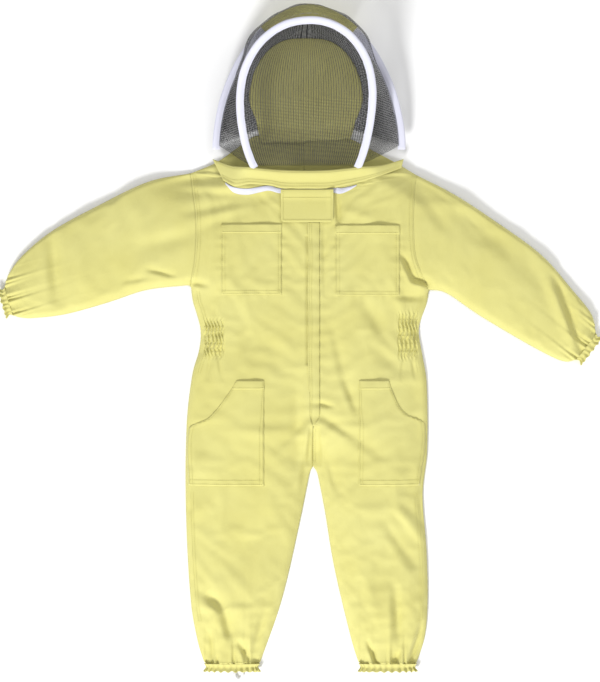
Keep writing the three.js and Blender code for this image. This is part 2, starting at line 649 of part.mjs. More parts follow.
const collarSurface = (lift) => (u, v) => {
  const at = collarLow.getPoint(u).lerp(collarHigh.getPoint(u), v);
  const clear = frontZ(at.x, Math.min(at.y, neckArcY(clamp(at.x, -200, 200), NECK_RADIUS))) + 4.2;
  return point(at.x, at.y, Math.max(collarZ(at.x), clear) + lift);
};
add('collar', slab(collarSurface(CLOTH), collarSurface(0), 24, 3), 'cotton');

// ---------------------------------------------------------------- neck flap and its hook-and-loop patches
const flapRootZ = COLLAR_Z + 0.2;
const neckFlap = (lift) => (u, v) => {
  const y = mix(NECK_FLAP_BOTTOM, ZIP_TOP - 1.2, v);
  const low = mix(TORSO_RISE + NECK_FLAP_RISE, flapRootZ, ease(y, ZIP_TOP - 24, ZIP_TOP - 4));
  return point(mix(NECK_FLAP_LEFT, NECK_FLAP_RIGHT, u), y, low + lift);
};
add('neck_flap', slab(neckFlap(FLAP_CLOTH), neckFlap(0), 2, 8), 'cotton');
for (const [side, fromX, toX] of [['left', NECK_FLAP_LEFT + 6, 14], ['right', 44, NECK_FLAP_RIGHT - 4]]) {
  const low = TORSO_RISE + GAP;
  block(`hook_patch_${side}`, point(fromX, NECK_FLAP_BOTTOM + 6, low + 0.1),
    point(toX, NECK_FLAP_BOTTOM + 36, low + PATCH), 'white');
  block(`loop_patch_${side}`, point(fromX, NECK_FLAP_BOTTOM + 6, low + PATCH + GAP),
    point(toX, NECK_FLAP_BOTTOM + 36, TORSO_RISE + NECK_FLAP_RISE - GAP), 'white');
}

// ---------------------------------------------------------------- hood: cotton back on the floor
// share of the arch 0..1 runs from the left foot over the top to the right foot
function hoodBackEdge(share) {
  const angle = mix(-0.42, Math.PI + 0.42, share);
  const across = Math.cos(angle);
  const up = Math.sin(angle);
  const middleY = HOOD_BACK_TOP_Y - 116;
  const y = up > 0
    ? middleY + 116 * up ** 0.75
    : middleY + (middleY - HOOD_BACK_BOTTOM_Y) * (up / Math.sin(0.42));
  const half = HOOD_BACK_HALF * Math.sign(across) * Math.abs(across) ** 0.6;
  return at2(FACE_HOOP_X - half, y);
}

const backHalf = (lift) => (u, v) => {
  const leftEdge = hoodBackEdge(v / 2);
  const rightEdge = hoodBackEdge(1 - v / 2);
  return point(mix(leftEdge.x, rightEdge.x, u), mix(leftEdge.y, rightEdge.y, u), lift);
};
add('hood_back', slab(backHalf(CLOTH), backHalf(0), 4, 16), 'cotton');

// ---------------------------------------------------------------- hoops
// both hoops are flat arches; share 0..1 from the left foot over the top to the right foot
function rearHoop(share) {
  const angle = mix(0, Math.PI, share);
  const across = Math.cos(angle);
  const up = Math.abs(Math.sin(angle)) ** (2 / 1.85);
  const half = REAR_HOOP_HALF * Math.sign(across) * Math.abs(across) ** (2 / 1.85);
  const y = mix(REAR_HOOP_FOOT_Y, REAR_HOOP_TOP_Y, up);
  return point(REAR_HOOP_X - half, y, mix(REAR_HOOP_FOOT_Z, REAR_HOOP_TOP_Z, up));
}

const faceFootAngle = Math.asin(0.609);
function faceHoop(share, grow) {
  const angle = mix(-faceFootAngle, Math.PI + faceFootAngle, share);
  const across = Math.cos(angle);
  const up = Math.sin(angle);
  const power = up > 0 ? 2 / 2.1 : 1;
  const width = up > 0
    ? (FACE_HOOP_HALF + grow) * Math.abs(across) ** power
    : FACE_HOOP_HALF * Math.abs(across) + grow;
  const half = Math.sign(across) * width;
  const rise = up > 0
    ? FACE_HOOP_WAIST + (FACE_HOOP_HEIGHT + grow - FACE_HOOP_WAIST) * up ** power
    : FACE_HOOP_WAIST * (1 + up / Math.sin(faceFootAngle));
  const length = rise - FACE_HOOP_LEAN * half * clamp(rise / 60, 0, 1);
  return at2(FACE_HOOP_X - half, Math.max(length, 0));
}

const tiltCos = Math.cos(FACE_HOOP_TILT);
const tiltSin = Math.sin(FACE_HOOP_TILT);
// point of the face hoop's plane: x across, s up the plane, n out of it
const onFacePlane = (x, s, n) => {
  const y = HOOP_AXIS_Y + s * tiltCos - n * tiltSin;
  return point(x, y, HOOP_AXIS_Z + s * tiltSin + n * tiltCos);
};

// tube of oval section round a path; path gives the centre, its in-plane outward and its plane normal
function casing(name, frameAt, halfWidth, halfHeight, around, along, wall, finish) {
  const at = (inset) => (u, v) => {
    const { centre: middle, out, normal } = frameAt(v);
    const turn = u * Math.PI * 2;
    return middle.clone()
      .add(out.clone().multiplyScalar(Math.cos(turn) * (halfWidth - inset)))
      .add(normal.clone().multiplyScalar(Math.sin(turn) * (halfHeight - inset)));
  };
  add(name, pipe(at(0), at(wall), around, along), finish);
}

function solidRod(name, frameAt, radius, around, along, from, to, finish) {
  const points = [];
  for (let step = 0; step <= along; step += 1) points.push(frameAt(mix(from, to, step / along)).centre);
  const path = new THREE.CatmullRomCurve3(points);
  const section = new THREE.Shape();
  section.absarc(0, 0, radius, 0, Math.PI * 2);
  add(name, new THREE.ExtrudeGeometry(section, {
    steps: along, curveSegments: around, extrudePath: path, bevelEnabled: false,
  }), finish);
}

function frameAlong(pathAt, normal) {
  const step = 0.002;
  return (share) => {
    const middle = pathAt(share);
    const ahead = pathAt(Math.min(1, share + step)).sub(pathAt(Math.max(0, share - step))).normalize();
    return { centre: middle, out: new THREE.Vector3().crossVectors(normal, ahead).normalize(), normal };
  };
}

const faceNormal = point(0, -tiltSin, tiltCos);
const CASING_FOOT = 5;
const faceMiddle = frameAlong((share) => {
  const at = faceHoop(share, 0);
  return onFacePlane(at.x, Math.max(at.y, 0) + CASING_FOOT * (1 - Math.sin(Math.PI * share)), 0);
}, faceNormal);
casing('face_hoop_casing', faceMiddle, CASING_WIDTH / 2, CASING_HEIGHT / 2, 8, 24, 0.9, 'white');
solidRod('face_hoop', faceMiddle, HOOP_ROD / 2 - 0.2, 3, 24, 0.01, 0.99, 'steel');

const rearRise = Math.atan2(REAR_HOOP_TOP_Z - REAR_HOOP_FOOT_Z, REAR_HOOP_TOP_Y - REAR_HOOP_FOOT_Y);
const rearNormal = point(0, -Math.sin(rearRise), Math.cos(rearRise));
const rearMiddle = frameAlong(rearHoop, rearNormal);
casing('rear_hoop_casing', rearMiddle, CASING_WIDTH / 2, CASING_HEIGHT / 2, 8, 22, 0.9, 'white');
solidRod('rear_hoop', rearMiddle, HOOP_ROD / 2 - 0.2, 3, 22, 0.01, 0.99, 'steel');

// ---------------------------------------------------------------- veils
const veilInset = CASING_WIDTH / 2 + CASING_WIDTH / 16;
const veilFront = (lift) => (u, v) => {
  const share = mix(0.015, 0.5, v);
  const leftEdge = faceHoop(share, -veilInset);
  const rightEdge = faceHoop(1 - share, -veilInset);
  const s = Math.max(mix(leftEdge.y, rightEdge.y, u), 0) + CASING_FOOT * (1 - Math.sin(Math.PI * share));
  return onFacePlane(mix(leftEdge.x, rightEdge.x, u), s, lift - VEIL / 2);
};
add('veil_front', slab(veilFront(VEIL), veilFront(0), 2, 14), 'veil');

// the rear bowl between the hood back and the rear hoop, as parts of one rounded band
const casingSink = CASING_HEIGHT / 2 + 1;
function bowl(share, rise) {
  const inner = hoodBackEdge(share);
  const outer = rearHoop(share);
  const spread = Math.sin((rise * Math.PI) / 2);
  const lift = 1 - Math.cos((rise * Math.PI) / 2);
  const push = CROWN_BULGE * Math.sin(Math.PI * rise) * Math.sin(Math.PI * share) ** 2;
  const x = mix(inner.x, outer.x, spread);
  const y = mix(inner.y, outer.y, spread) + push;
  return point(x, y, mix(VEIL + GAP, outer.z - casingSink - VEIL, lift));
}

function bowlPatch(name, fromShare, toShare, fromRise, toRise, thickness, columns, rows, finish) {
  const low = (u, v) => bowl(mix(fromShare, toShare, u), mix(fromRise, toRise, v));
  const inside = (u, v) => {
    const share = mix(fromShare, toShare, u);
    const rise = mix(fromRise, toRise, v);
    const at = low(u, v);
    const along = bowl(Math.min(share + 0.004, 1), rise).sub(bowl(Math.max(share - 0.004, 0), rise));
    const up = bowl(share, Math.min(rise + 0.01, 1)).sub(bowl(share, Math.max(rise - 0.01, 0)));
    const normal = new THREE.Vector3().crossVectors(along, up).normalize();
    return at.add(normal.multiplyScalar(normal.z > 0 ? thickness : -thickness));
  };
  add(name, slab(inside, low, columns, rows), finish);
}

const seamShare = 0.003;
bowlPatch('veil_back_left', 0.02, CROWN_FROM - seamShare, 0.03, 1, VEIL, 12, 4, 'veil');
bowlPatch('veil_back_right', CROWN_TO + seamShare, 0.98, 0.03, 1, VEIL, 12, 4, 'veil');
bowlPatch('veil_back_top', CROWN_FROM, CROWN_TO, 0.03, CROWN_FOOT - 0.01, VEIL, 12, 2, 'veil');
bowlPatch('hood_crown', CROWN_FROM, CROWN_TO, CROWN_FOOT, 1, CLOTH, 12, 4, 'cotton');

// mesh band between the two hoops, bulged clear of the path of the face hoop
const bandNear = (share) => {
  const { centre: middle, out } = faceMiddle(share);
  return middle.add(out.multiplyScalar(CASING_WIDTH / 2 + 3)).add(faceNormal.clone().multiplyScalar(1));
};
const bandFar = (share) => {
  const { centre: middle, out } = rearMiddle(share);
  const above = rearNormal.clone().multiplyScalar(CASING_HEIGHT / 2 + 3);
  return middle.add(out.multiplyScalar(CASING_WIDTH / 2 - 2)).add(above);
};
const band = (thickness) => (u, v) => {
  const share = mix(0.03, 0.97, u);
  const near = bandNear(share);
  const far = bandFar(share);
  const out = faceMiddle(share).out;
  const bulge = BAND_BULGE * Math.sin(Math.PI * v) * (0.35 + 0.65 * Math.sin(Math.PI * u)) + thickness;
  return far.lerp(near, v).add(point(out.x, out.y * 0.8, 0.45).normalize().multiplyScalar(bulge));
};
add('veil_band', slab(band(VEIL), band(0), 24, 3), 'veil');

suit.updateMatrixWorld(true);
const bounds = new THREE.Box3().setFromObject(suit);
const centre = bounds.getCenter(new THREE.Vector3());
suit.position.set(-centre.x, -centre.y, -bounds.min.z);

export default suit;
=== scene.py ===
"""Child's beekeeping suit, laid flat on its back: cotton coverall, mesh hood on two spring hoops."""
import math

import bmesh
import bpy
import numpy as np
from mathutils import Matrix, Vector, noise
from mathutils.bvhtree import BVHTree


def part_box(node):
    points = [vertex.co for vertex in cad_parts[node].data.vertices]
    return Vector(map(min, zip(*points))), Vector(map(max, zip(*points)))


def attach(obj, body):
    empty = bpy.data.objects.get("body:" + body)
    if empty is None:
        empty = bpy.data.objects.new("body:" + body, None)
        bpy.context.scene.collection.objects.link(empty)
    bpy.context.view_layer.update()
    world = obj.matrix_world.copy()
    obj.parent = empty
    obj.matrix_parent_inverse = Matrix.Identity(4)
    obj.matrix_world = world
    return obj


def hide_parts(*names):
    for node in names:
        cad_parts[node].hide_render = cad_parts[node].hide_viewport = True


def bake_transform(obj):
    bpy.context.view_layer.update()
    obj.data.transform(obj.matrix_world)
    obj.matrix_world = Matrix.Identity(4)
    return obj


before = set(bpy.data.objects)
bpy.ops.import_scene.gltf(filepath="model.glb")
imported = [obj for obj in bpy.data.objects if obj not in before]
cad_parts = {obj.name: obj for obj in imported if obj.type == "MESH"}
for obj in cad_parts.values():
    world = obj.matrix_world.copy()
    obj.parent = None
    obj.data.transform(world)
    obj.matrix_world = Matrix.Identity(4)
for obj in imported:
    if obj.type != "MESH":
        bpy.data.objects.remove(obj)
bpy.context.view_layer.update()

# ------------------------------------------------------------------ sizes, in metres
PANEL_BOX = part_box("zip_teeth")
FLAP_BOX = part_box("neck_flap")
ZIP_X = 0.031                       # centre line of the front zip in the suit's own plan
NECK_FLAP_BOTTOM = 0.236
SHIFT_X = (PANEL_BOX[0][0] + PANEL_BOX[1][0]) / 2 - ZIP_X
SHIFT_Y = FLAP_BOX[0][1] - NECK_FLAP_BOTTOM

CLOTH = 0.0007
EDGE_Z = 0.0045                     # height of the folded side seams
TORSO_RISE = 0.0335
LEG_RISE = 0.0275
HEM_RISE = 0.018
SLEEVE_RISE = 0.029
WRIST_RISE = 0.018

HEM_Y = -0.642
HEM_LEFT = (-0.190, -0.079)        # ends of each ankle hem
HEM_RIGHT = (0.118, 0.234)
CROTCH_X, CROTCH_Y = 0.027, -0.249
WAIST_Y = 0.012
UNDERARM_LEFT = Vector((-0.217, 0.113))
UNDERARM_RIGHT = Vector((0.258, 0.103))
SHOULDER_LEFT = Vector((-0.217, 0.336))
SHOULDER_RIGHT = Vector((0.232, 0.333))
NECK_SIDE_LEFT = Vector((-0.166, 0.356))
NECK_SIDE_RIGHT = Vector((0.198, 0.354))
SHOULDER_DROP = 0.060
ZIP_SLOT = 0.020
ZIP_BOTTOM = -0.168
ZIP_TOP = 0.302
TEETH_GAP = 0.0003                  # between the teeth and the tape beside them
ON_FLOOR = 0.0012                   # height of cloth that lies on the floor
NECK_CENTRE_Y = 0.917
NECK_RADIUS = 0.605
PANEL_TOP_RADIUS = 0.609
NECK_HALF = 0.143
BACK_NECK_Y = 0.411
BACK_NECK_HALF = 0.092
BACK_SEAM_X = 0.008

HOOP_AXIS_Y, HOOP_AXIS_Z = 0.338, 0.050
FACE_X = 0.013
FACE_HALF = 0.128
FACE_HEIGHT = 0.305
FACE_WAIST = 0.144
FACE_TILT = math.radians(28)
FACE_LEAN = 0.05
FACE_FOOT_ANGLE = math.asin(0.609)
CASING_FOOT = 0.005
REAR_X = 0.019
REAR_HALF = 0.184
REAR_FOOT = Vector((0.381, 0.028))  # y, z
REAR_TOP = Vector((0.650, 0.078))
CASING_HALF = 0.008
HOOD_BACK_TOP = 0.606
HOOD_BACK_BOTTOM = BACK_NECK_Y + 0.003
HOOD_BACK_HALF = 0.101
CROWN_FROM, CROWN_TO, CROWN_FOOT = 0.33, 0.67, 0.34
CROWN_BULGE = 0.022
HOOD_SIDE_SHARE = 0.015             # where the mesh starts along the arch, from either foot


# ------------------------------------------------------------------ small tools
def clamp(value, low=0.0, high=1.0):
    return max(low, min(high, value))


def mix(a, b, share):
    return a + (b - a) * share


def ease(value, start, end):
    share = clamp((value - start) / (end - start))
    return share * share * (3 - 2 * share)


def spline(points):
    """A curve over 0..1 that runs smoothly through the points."""
    points = [Vector(p) for p in points]
    last = len(points) - 1

    def at(share):
        place = clamp(share) * last
        index = min(int(place), last - 1)
        t = place - index
        p1, p2 = points[index], points[index + 1]
        p0 = points[index - 1] if index > 0 else p1 * 2 - p2
        p3 = points[index + 2] if index + 2 <= last else p2 * 2 - p1
        return 0.5 * (2 * p1 + (p2 - p0) * t + (2 * p0 - 5 * p1 + 4 * p2 - p3) * t * t
                      + (3 * p1 - p0 - 3 * p2 + p3) * t ** 3)
    return at


def profile(*stations):
    """A smooth curve y -> x through stations (y, x) that rise in y."""
    ys = [s[0] for s in stations]
    xs = [s[1] for s in stations]
    last = len(stations) - 1
    slopes = []
    for i in range(last + 1):
        low, high = max(0, i - 1), min(last, i + 1)
        slopes.append((xs[high] - xs[low]) / (ys[high] - ys[low]))

    def at(y):
        y = clamp(y, ys[0], ys[-1])
        i = max(k for k in range(last) if ys[k] <= y)
        width = ys[i + 1] - ys[i]
        t = (y - ys[i]) / width
        return ((2 * t ** 3 - 3 * t ** 2 + 1) * xs[i] + (t ** 3 - 2 * t ** 2 + t) * width * slopes[i]
                + (3 * t ** 2 - 2 * t ** 3) * xs[i + 1] + (t ** 3 - t ** 2) * width * slopes[i + 1])
    return at


def placed(x, y, z):
    """A point of the suit's own plan, in the row's frame."""
    return Vector((x + SHIFT_X, y + SHIFT_Y, z))


# ------------------------------------------------------------------ materials
class Nodes:
    """Short way to write a shader tree."""

    def __init__(self, name):
        self.material = bpy.data.materials.new(name)
        self.material.use_nodes = True
        self.tree = self.material.node_tree
        self.shader = self.tree.nodes["Principled BSDF"]

    def add(self, kind, **values):
        node = self.tree.nodes.new(kind)
        for key, value in values.items():
            if key in node.inputs:
                node.inputs[key].default_value = value
            else:
                setattr(node, key, value)
        return node

    def link(self, source, target):
        self.tree.links.new(source, target)

    def math(self, operation, a, b=None, clamped=False):
        node = self.add("ShaderNodeMath", operation=operation, use_clamp=clamped)
        for socket, value in zip(node.inputs, (a, b)):
            if value is None:
                continue
            if isinstance(value, (int, float)):
                socket.default_value = value
            else:
                self.link(value, socket)
        return node.outputs[0]

    def coordinates(self, kind="Object"):
        return self.add("ShaderNodeTexCoord").outputs[kind]

    def set(self, **values):
        for key, value in values.items():
            self.shader.inputs[key.replace("_", " ")].default_value = value

    def split(self, vector):
        node = self.add("ShaderNodeSeparateXYZ")
        self.link(vector, node.inputs[0])
        return node.outputs

    def noise(self, vector, scale, detail=3.0, roughness=0.5):
        node = self.add("ShaderNodeTexNoise", Scale=scale, Detail=detail, Roughness=roughness)
        self.link(vector, node.inputs["Vector"])
        return node.outputs["Fac"]

    def ramp(self, value, low, high, low_colour, high_colour):
        node = self.add("ShaderNodeValToRGB")
        self.link(value, node.inputs[0])
        for element, place, colour in zip(node.color_ramp.elements, (low, high), (low_colour, high_colour)):
            element.position = place
            element.color = (*colour, 1)
        return node.outputs[0]

    def bump(self, height, distance, strength=1.0, below=None):
        node = self.add("ShaderNodeBump", Strength=strength, Distance=distance)
        self.link(height, node.inputs["Height"])
        if below is not None:
            self.link(below, node.inputs["Normal"])
        return node.outputs[0]


def woven(nodes, vector, pitch, twill):
    """Height of a weave: threads both ways, with a slanted rib if twill is above 0."""
    x, y, _ = nodes.split(vector)
    turn = 2 * math.pi / pitch
    warp = nodes.math("SINE", nodes.math("MULTIPLY", x, turn))
    weft = nodes.math("SINE", nodes.math("MULTIPLY", y, turn))
    plain = nodes.math("MULTIPLY", warp, weft)
    rib = nodes.math("SINE", nodes.math("MULTIPLY", nodes.math("ADD", x, y), turn / 2))
    return nodes.math("ADD", plain, nodes.math("MULTIPLY", rib, twill))


def cotton_material(name, light, dark, pitch, twill, crumple):
    nodes = Nodes(name)
    vector = nodes.coordinates()
    blotch = nodes.noise(vector, 7, 4, 0.6)
    nodes.link(nodes.ramp(blotch, 0.3, 0.7, dark, light), nodes.shader.inputs["Base Color"])
    fine = nodes.bump(woven(nodes, vector, pitch, twill), 0.00012, 0.5)
    slub = nodes.bump(nodes.noise(vector, 420, 2), 0.0003, 0.35, fine)
    soft = nodes.bump(nodes.noise(vector, 38, 5, 0.55), crumple, 0.6, slub)
    nodes.link(soft, nodes.shader.inputs["Normal"])
    worn = nodes.math("ADD", nodes.math("MULTIPLY", nodes.noise(vector, 60, 3), 0.12), 0.80)
    nodes.link(worn, nodes.shader.inputs["Roughness"])
    nodes.set(Sheen_Weight=0.22, Sheen_Roughness=0.45, Specular_IOR_Level=0.25)
    nodes.shader.inputs["Sheen Tint"].default_value = (1.0, 0.98, 0.85, 1)
    return nodes.material


def veil_material(name, pitch, row_pitch, thread):
    """Black knitted mesh: open holes between threads, laid out on the cloth's own map."""
    nodes = Nodes(name)
    u, v, _ = nodes.split(nodes.coordinates("UV"))
    across = nodes.math("ABSOLUTE", nodes.math("SINE", nodes.math("MULTIPLY", u, math.pi / pitch)))
    along = nodes.math("ABSOLUTE", nodes.math("SINE", nodes.math("MULTIPLY", v, math.pi / row_pitch)))
    edge = math.sin(math.pi * thread / 2)
    solid = nodes.math("MAXIMUM", nodes.math("LESS_THAN", across, edge), nodes.math("LESS_THAN", along, edge))
    nodes.link(solid, nodes.shader.inputs["Alpha"])
    height = nodes.math("SUBTRACT", 1.0, nodes.math("MULTIPLY", across, along))
    nodes.link(nodes.bump(height, 0.0003, 0.6), nodes.shader.inputs["Normal"])
    shade = nodes.noise(nodes.coordinates(), 30, 2)
    nodes.link(nodes.ramp(shade, 0.2, 0.8, (0.010, 0.010, 0.012), (0.028, 0.028, 0.031)),
               nodes.shader.inputs["Base Color"])
    nodes.set(Roughness=0.55, Specular_IOR_Level=0.35)
    return nodes.material


def plain_material(name, colour, roughness, metallic=0.0, grain=300, depth=0.00005):
    nodes = Nodes(name)
    vector = nodes.coordinates()
    light = tuple(min(1.0, c * 1.06) for c in colour)
    tint = nodes.ramp(nodes.noise(vector, 90, 3), 0.3, 0.7, colour, light)
    nodes.link(tint, nodes.shader.inputs["Base Color"])
    nodes.link(nodes.bump(nodes.noise(vector, grain, 3), depth, 0.6), nodes.shader.inputs["Normal"])
    rough = nodes.math("ADD", nodes.math("MULTIPLY", nodes.noise(vector, 200, 2), 0.2), roughness - 0.1)
    nodes.link(rough, nodes.shader.inputs["Roughness"])
    nodes.set(Metallic=metallic)
    return nodes.material


YELLOW = cotton_material("lemon cotton", (0.640, 0.605, 0.226), (0.600, 0.560, 0.190), 0.0011, 0.5, 0.0009)
WHITE_TAPE = cotton_material("white cotton tape", (0.680, 0.685, 0.790), (0.630, 0.635, 0.750),
                             0.0014, 0.8, 0.0005)
THREAD = cotton_material("yellow sewing thread", (0.68, 0.645, 0.25), (0.63, 0.59, 0.21), 0.0004, 0.0, 0.0001)
WHITE_THREAD = cotton_material("white sewing thread", (0.72, 0.72, 0.80), (0.62, 0.62, 0.72),
                               0.0004, 0.0, 0.0001)
VEIL = veil_material("black insect mesh", 0.0044, 0.0017, 0.225)
SIDE_VEIL = veil_material("black insect mesh of the sides", 0.0019, 0.0017, 0.165)
STEEL = plain_material("nickel plate", (0.58, 0.585, 0.60), 0.32, 1.0)
TEETH = plain_material("white zip plastic", (0.84, 0.84, 0.82), 0.42)
ELASTIC = cotton_material("woven elastic", (0.85, 0.85, 0.86), (0.72, 0.72, 0.75), 0.0016, 0.9, 0.0004)
LOOPS = cotton_material("hook and loop", (0.82, 0.82, 0.80), (0.66, 0.66, 0.64), 0.0012, 0.0, 0.0008)


# ------------------------------------------------------------------ pieces
def finish_piece(bm, name, material, body, nodes_replaced=(), weld=1e-5):
    bmesh.ops.remove_doubles(bm, verts=bm.verts, dist=weld)
    mesh = bpy.data.meshes.new(name)
    for face in bm.faces:
        face.smooth = True
    bm.to_mesh(mesh)
    bm.free()
    piece = bpy.data.objects.new(name, mesh)
    bpy.context.scene.collection.objects.link(piece)
    mesh.materials.append(material)
    if body:
        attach(piece, body)
    if nodes_replaced:
        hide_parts(*nodes_replaced)
    return piece


def grid_into(bm, columns, rows, place):
    """Adds a grid and moves each of its points to place(u, v)."""
    made = bmesh.ops.create_grid(bm, x_segments=columns, y_segments=rows, size=0.5)["verts"]
    for vert in made:
        vert.co = place(clamp(vert.co.x + 0.5), clamp(vert.co.y + 0.5))
    return made


def thicken(bm, thickness, outward=None):
    """Gives a sheet its thickness; outward(face) tells whether a face already looks out."""
    bmesh.ops.remove_doubles(bm, verts=bm.verts, dist=1e-5)
    bmesh.ops.recalc_face_normals(bm, faces=bm.faces)
    if outward is not None:
        total = sum((1 if outward(face) else -1) * face.calc_area() for face in bm.faces)
        if total < 0:
            bmesh.ops.reverse_faces(bm, faces=bm.faces)
    bmesh.ops.solidify(bm, geom=bm.faces[:], thickness=thickness)


def faces_up(face):
    return face.normal.z > 0


def sheet_piece(name, place, columns, rows, thickness, material, body, replaced,
                outward=faces_up, weld=1e-5):
    """A grid moved to place(u, v), given its thickness and finished."""
    bm = bmesh.new()
    grid_into(bm, columns, rows, place)
    thicken(bm, thickness, outward)
    return finish_piece(bm, name, material, body, replaced, weld=weld)


def subdivide_smooth(obj, levels):
    modifier = obj.modifiers.new("smooth", "SUBSURF")
    modifier.levels = levels
    modifier.render_levels = levels
    evaluated = obj.evaluated_get(bpy.context.evaluated_depsgraph_get())
    mesh = bpy.data.meshes.new_from_object(evaluated)
    obj.modifiers.clear()
    old = obj.data
    obj.data = mesh
    bpy.data.meshes.remove(old)


def points_of(mesh):
    flat = np.empty(len(mesh.vertices) * 3)
    mesh.vertices.foreach_get("co", flat)
    return flat.reshape(-1, 3)


# ------------------------------------------------------------------ plan of the coverall
side_left = profile(
    (HEM_Y, HEM_LEFT[0]), (-0.600, -0.203), (-0.520, -0.217), (-0.330, -0.227), (-0.160, -0.225),
    (-0.060, -0.213), (-0.020, -0.201), (WAIST_Y + 0.008, -0.197), (0.055, -0.205),
    (0.080, -0.213), (0.113, -0.217))
side_right = profile(
    (HEM_Y, HEM_RIGHT[1]), (-0.590, 0.250), (-0.520, 0.256), (-0.420, 0.254), (-0.305, 0.246),
    (-0.220, 0.255),
    (-0.080, 0.254), (-0.030, 0.246), (WAIST_Y + 0.006, 0.238), (0.040, 0.241),
    (0.075, 0.254), (0.103, 0.258))
inseam_left = profile((HEM_Y, HEM_LEFT[1]), (-0.521, -0.037), (-0.377, -0.003), (CROTCH_Y, CROTCH_X - 0.004))
inseam_right = profile((HEM_Y, HEM_RIGHT[0]), (-0.593, 0.103), (-0.449, 0.069), (-0.330, 0.049),
                       (CROTCH_Y, CROTCH_X + 0.006))
armhole_left = spline([UNDERARM_LEFT, (-0.207, 0.170), (-0.205, 0.240), (-0.212, 0.300), SHOULDER_LEFT])
armhole_right = spline([UNDERARM_RIGHT, (0.232, 0.165), (0.226, 0.230), (0.228, 0.290), SHOULDER_RIGHT])


def neck_arc(x, radius):
    return NECK_CENTRE_Y - math.sqrt(radius * radius - x * x)


def shoulder_y(x):
    rise_left = (NECK_SIDE_LEFT.y - SHOULDER_LEFT.y) / (NECK_SIDE_LEFT.x - SHOULDER_LEFT.x)
    rise_right = (NECK_SIDE_RIGHT.y - SHOULDER_RIGHT.y) / (NECK_SIDE_RIGHT.x - SHOULDER_RIGHT.x)
    return min(SHOULDER_LEFT.y + rise_left * (x - SHOULDER_LEFT.x),
               SHOULDER_RIGHT.y + rise_right * (x - SHOULDER_RIGHT.x))


def swell(share, fullness):
    return min(1.0, (fullness * math.sin(math.pi * clamp(share))) ** 0.62)


def front_z(x, y):
    """Height of the laid-out front above the floor, before any fold."""
    armhole = math.sin(math.pi * clamp((y - 0.10) / 0.235)) ** 0.5 * 0.11
    left, right = side_left(y) - armhole, side_right(y) + armhole
    drop = clamp((shoulder_y(x) - y) / SHOULDER_DROP) ** 0.6
    torso = mix(EDGE_Z, TORSO_RISE, swell((x - left) / (right - left), 1.5) * drop)
    on_left = x < CROTCH_X
    inner = inseam_left(y) if on_left else inseam_right(y)
    share = (x - left) / (inner - left) if on_left else (right - x) / (right - inner)
    top = mix(HEM_RISE, LEG_RISE, ease(y, HEM_Y, HEM_Y + 0.12))
    leg = mix(EDGE_Z, top, swell(share, 1.25))
    return mix(leg, torso, ease(y, CROTCH_Y, ZIP_BOTTOM))


def slot_edge(side, y):
    open_edge = ZIP_X + side * ZIP_SLOT / 2
    return mix(CROTCH_X, open_edge, ease(y, ZIP_BOTTOM + 0.004, ZIP_BOTTOM + 0.016))


LEG_ROWS, TORSO_ROWS, ARM_ROWS, YOKE_ROWS = 38, 35, 22, 7
ALL_ROWS = LEG_ROWS + TORSO_ROWS + ARM_ROWS + YOKE_ROWS
COLUMNS = 22
SLEEVE_COLUMNS = 36


def half_row(side, row, back):
    """Outer end, inner end and share of the neckline for a row of one half, hem to neck."""
    outer_at = side_left if side < 0 else side_right
    inseam = inseam_left if side < 0 else inseam_right
    underarm = UNDERARM_LEFT if side < 0 else UNDERARM_RIGHT
    shoulder = SHOULDER_LEFT if side < 0 else SHOULDER_RIGHT
    neck_side = NECK_SIDE_LEFT if side < 0 else NECK_SIDE_RIGHT
    armhole = armhole_left if side < 0 else armhole_right

    def centre_x(y):
        return mix(CROTCH_X, BACK_SEAM_X, ease(y, CROTCH_Y, 0.2)) if back else slot_edge(side, y)
    top_y = BACK_NECK_Y if back else neck_arc(slot_edge(side, 0.3), PANEL_TOP_RADIUS)
    if row <= LEG_ROWS:
        y = mix(HEM_Y, CROTCH_Y, row / LEG_ROWS)
        inner = centre_x(y) if row == LEG_ROWS else inseam(y)
        return Vector((outer_at(y), y)), Vector((inner, y)), 0.0
    row -= LEG_ROWS
    if row <= TORSO_ROWS:
        y = mix(CROTCH_Y, underarm.y, row / TORSO_ROWS)
        return Vector((outer_at(y), y)), Vector((centre_x(y), y)), 0.0
    row -= TORSO_ROWS
    arm_top = top_y - (0.070 if back else 0.036)
    if row <= ARM_ROWS:
        y = mix(underarm.y, arm_top, row / ARM_ROWS)
        return armhole(row / ARM_ROWS), Vector((centre_x(y), y)), 0.0
    share = (row - ARM_ROWS) / YOKE_ROWS
    y = mix(arm_top, top_y, share)
    return shoulder.lerp(neck_side, share), Vector((centre_x(y), y)), share


def half_point(side, u, row, back):
    """Point of one half of the coverall: u runs from its outer edge to the centre line."""
    outer, inner, neck = half_row(side, row, back)
    if neck == 0:
        return outer.lerp(inner, u)
    neck_side = NECK_SIDE_LEFT if side < 0 else NECK_SIDE_RIGHT
    corner_x = side * (BACK_NECK_HALF if back else NECK_HALF)
    corner = clamp((corner_x - neck_side.x) / (inner.x - neck_side.x), 0.05, 0.8)
    spread = u / 0.25 * corner if u <= 0.25 else mix(corner, 1.0, (u - 0.25) / 0.75)
    u = mix(u, spread, ease(neck, 0, 1))
    x = mix(neck_side.x, inner.x, u)
    if back:
        top_y, line = BACK_NECK_Y, mix(neck_side.y, BACK_NECK_Y, clamp(u / corner))
    else:
        top_y = neck_arc(inner.x, PANEL_TOP_RADIUS)
        line = mix(neck_arc(x, PANEL_TOP_RADIUS), neck_side.y, clamp(1 - u / corner))
    at = outer.lerp(inner, u)
    at.y += neck * (line - mix(neck_side.y, top_y, u))
    return at


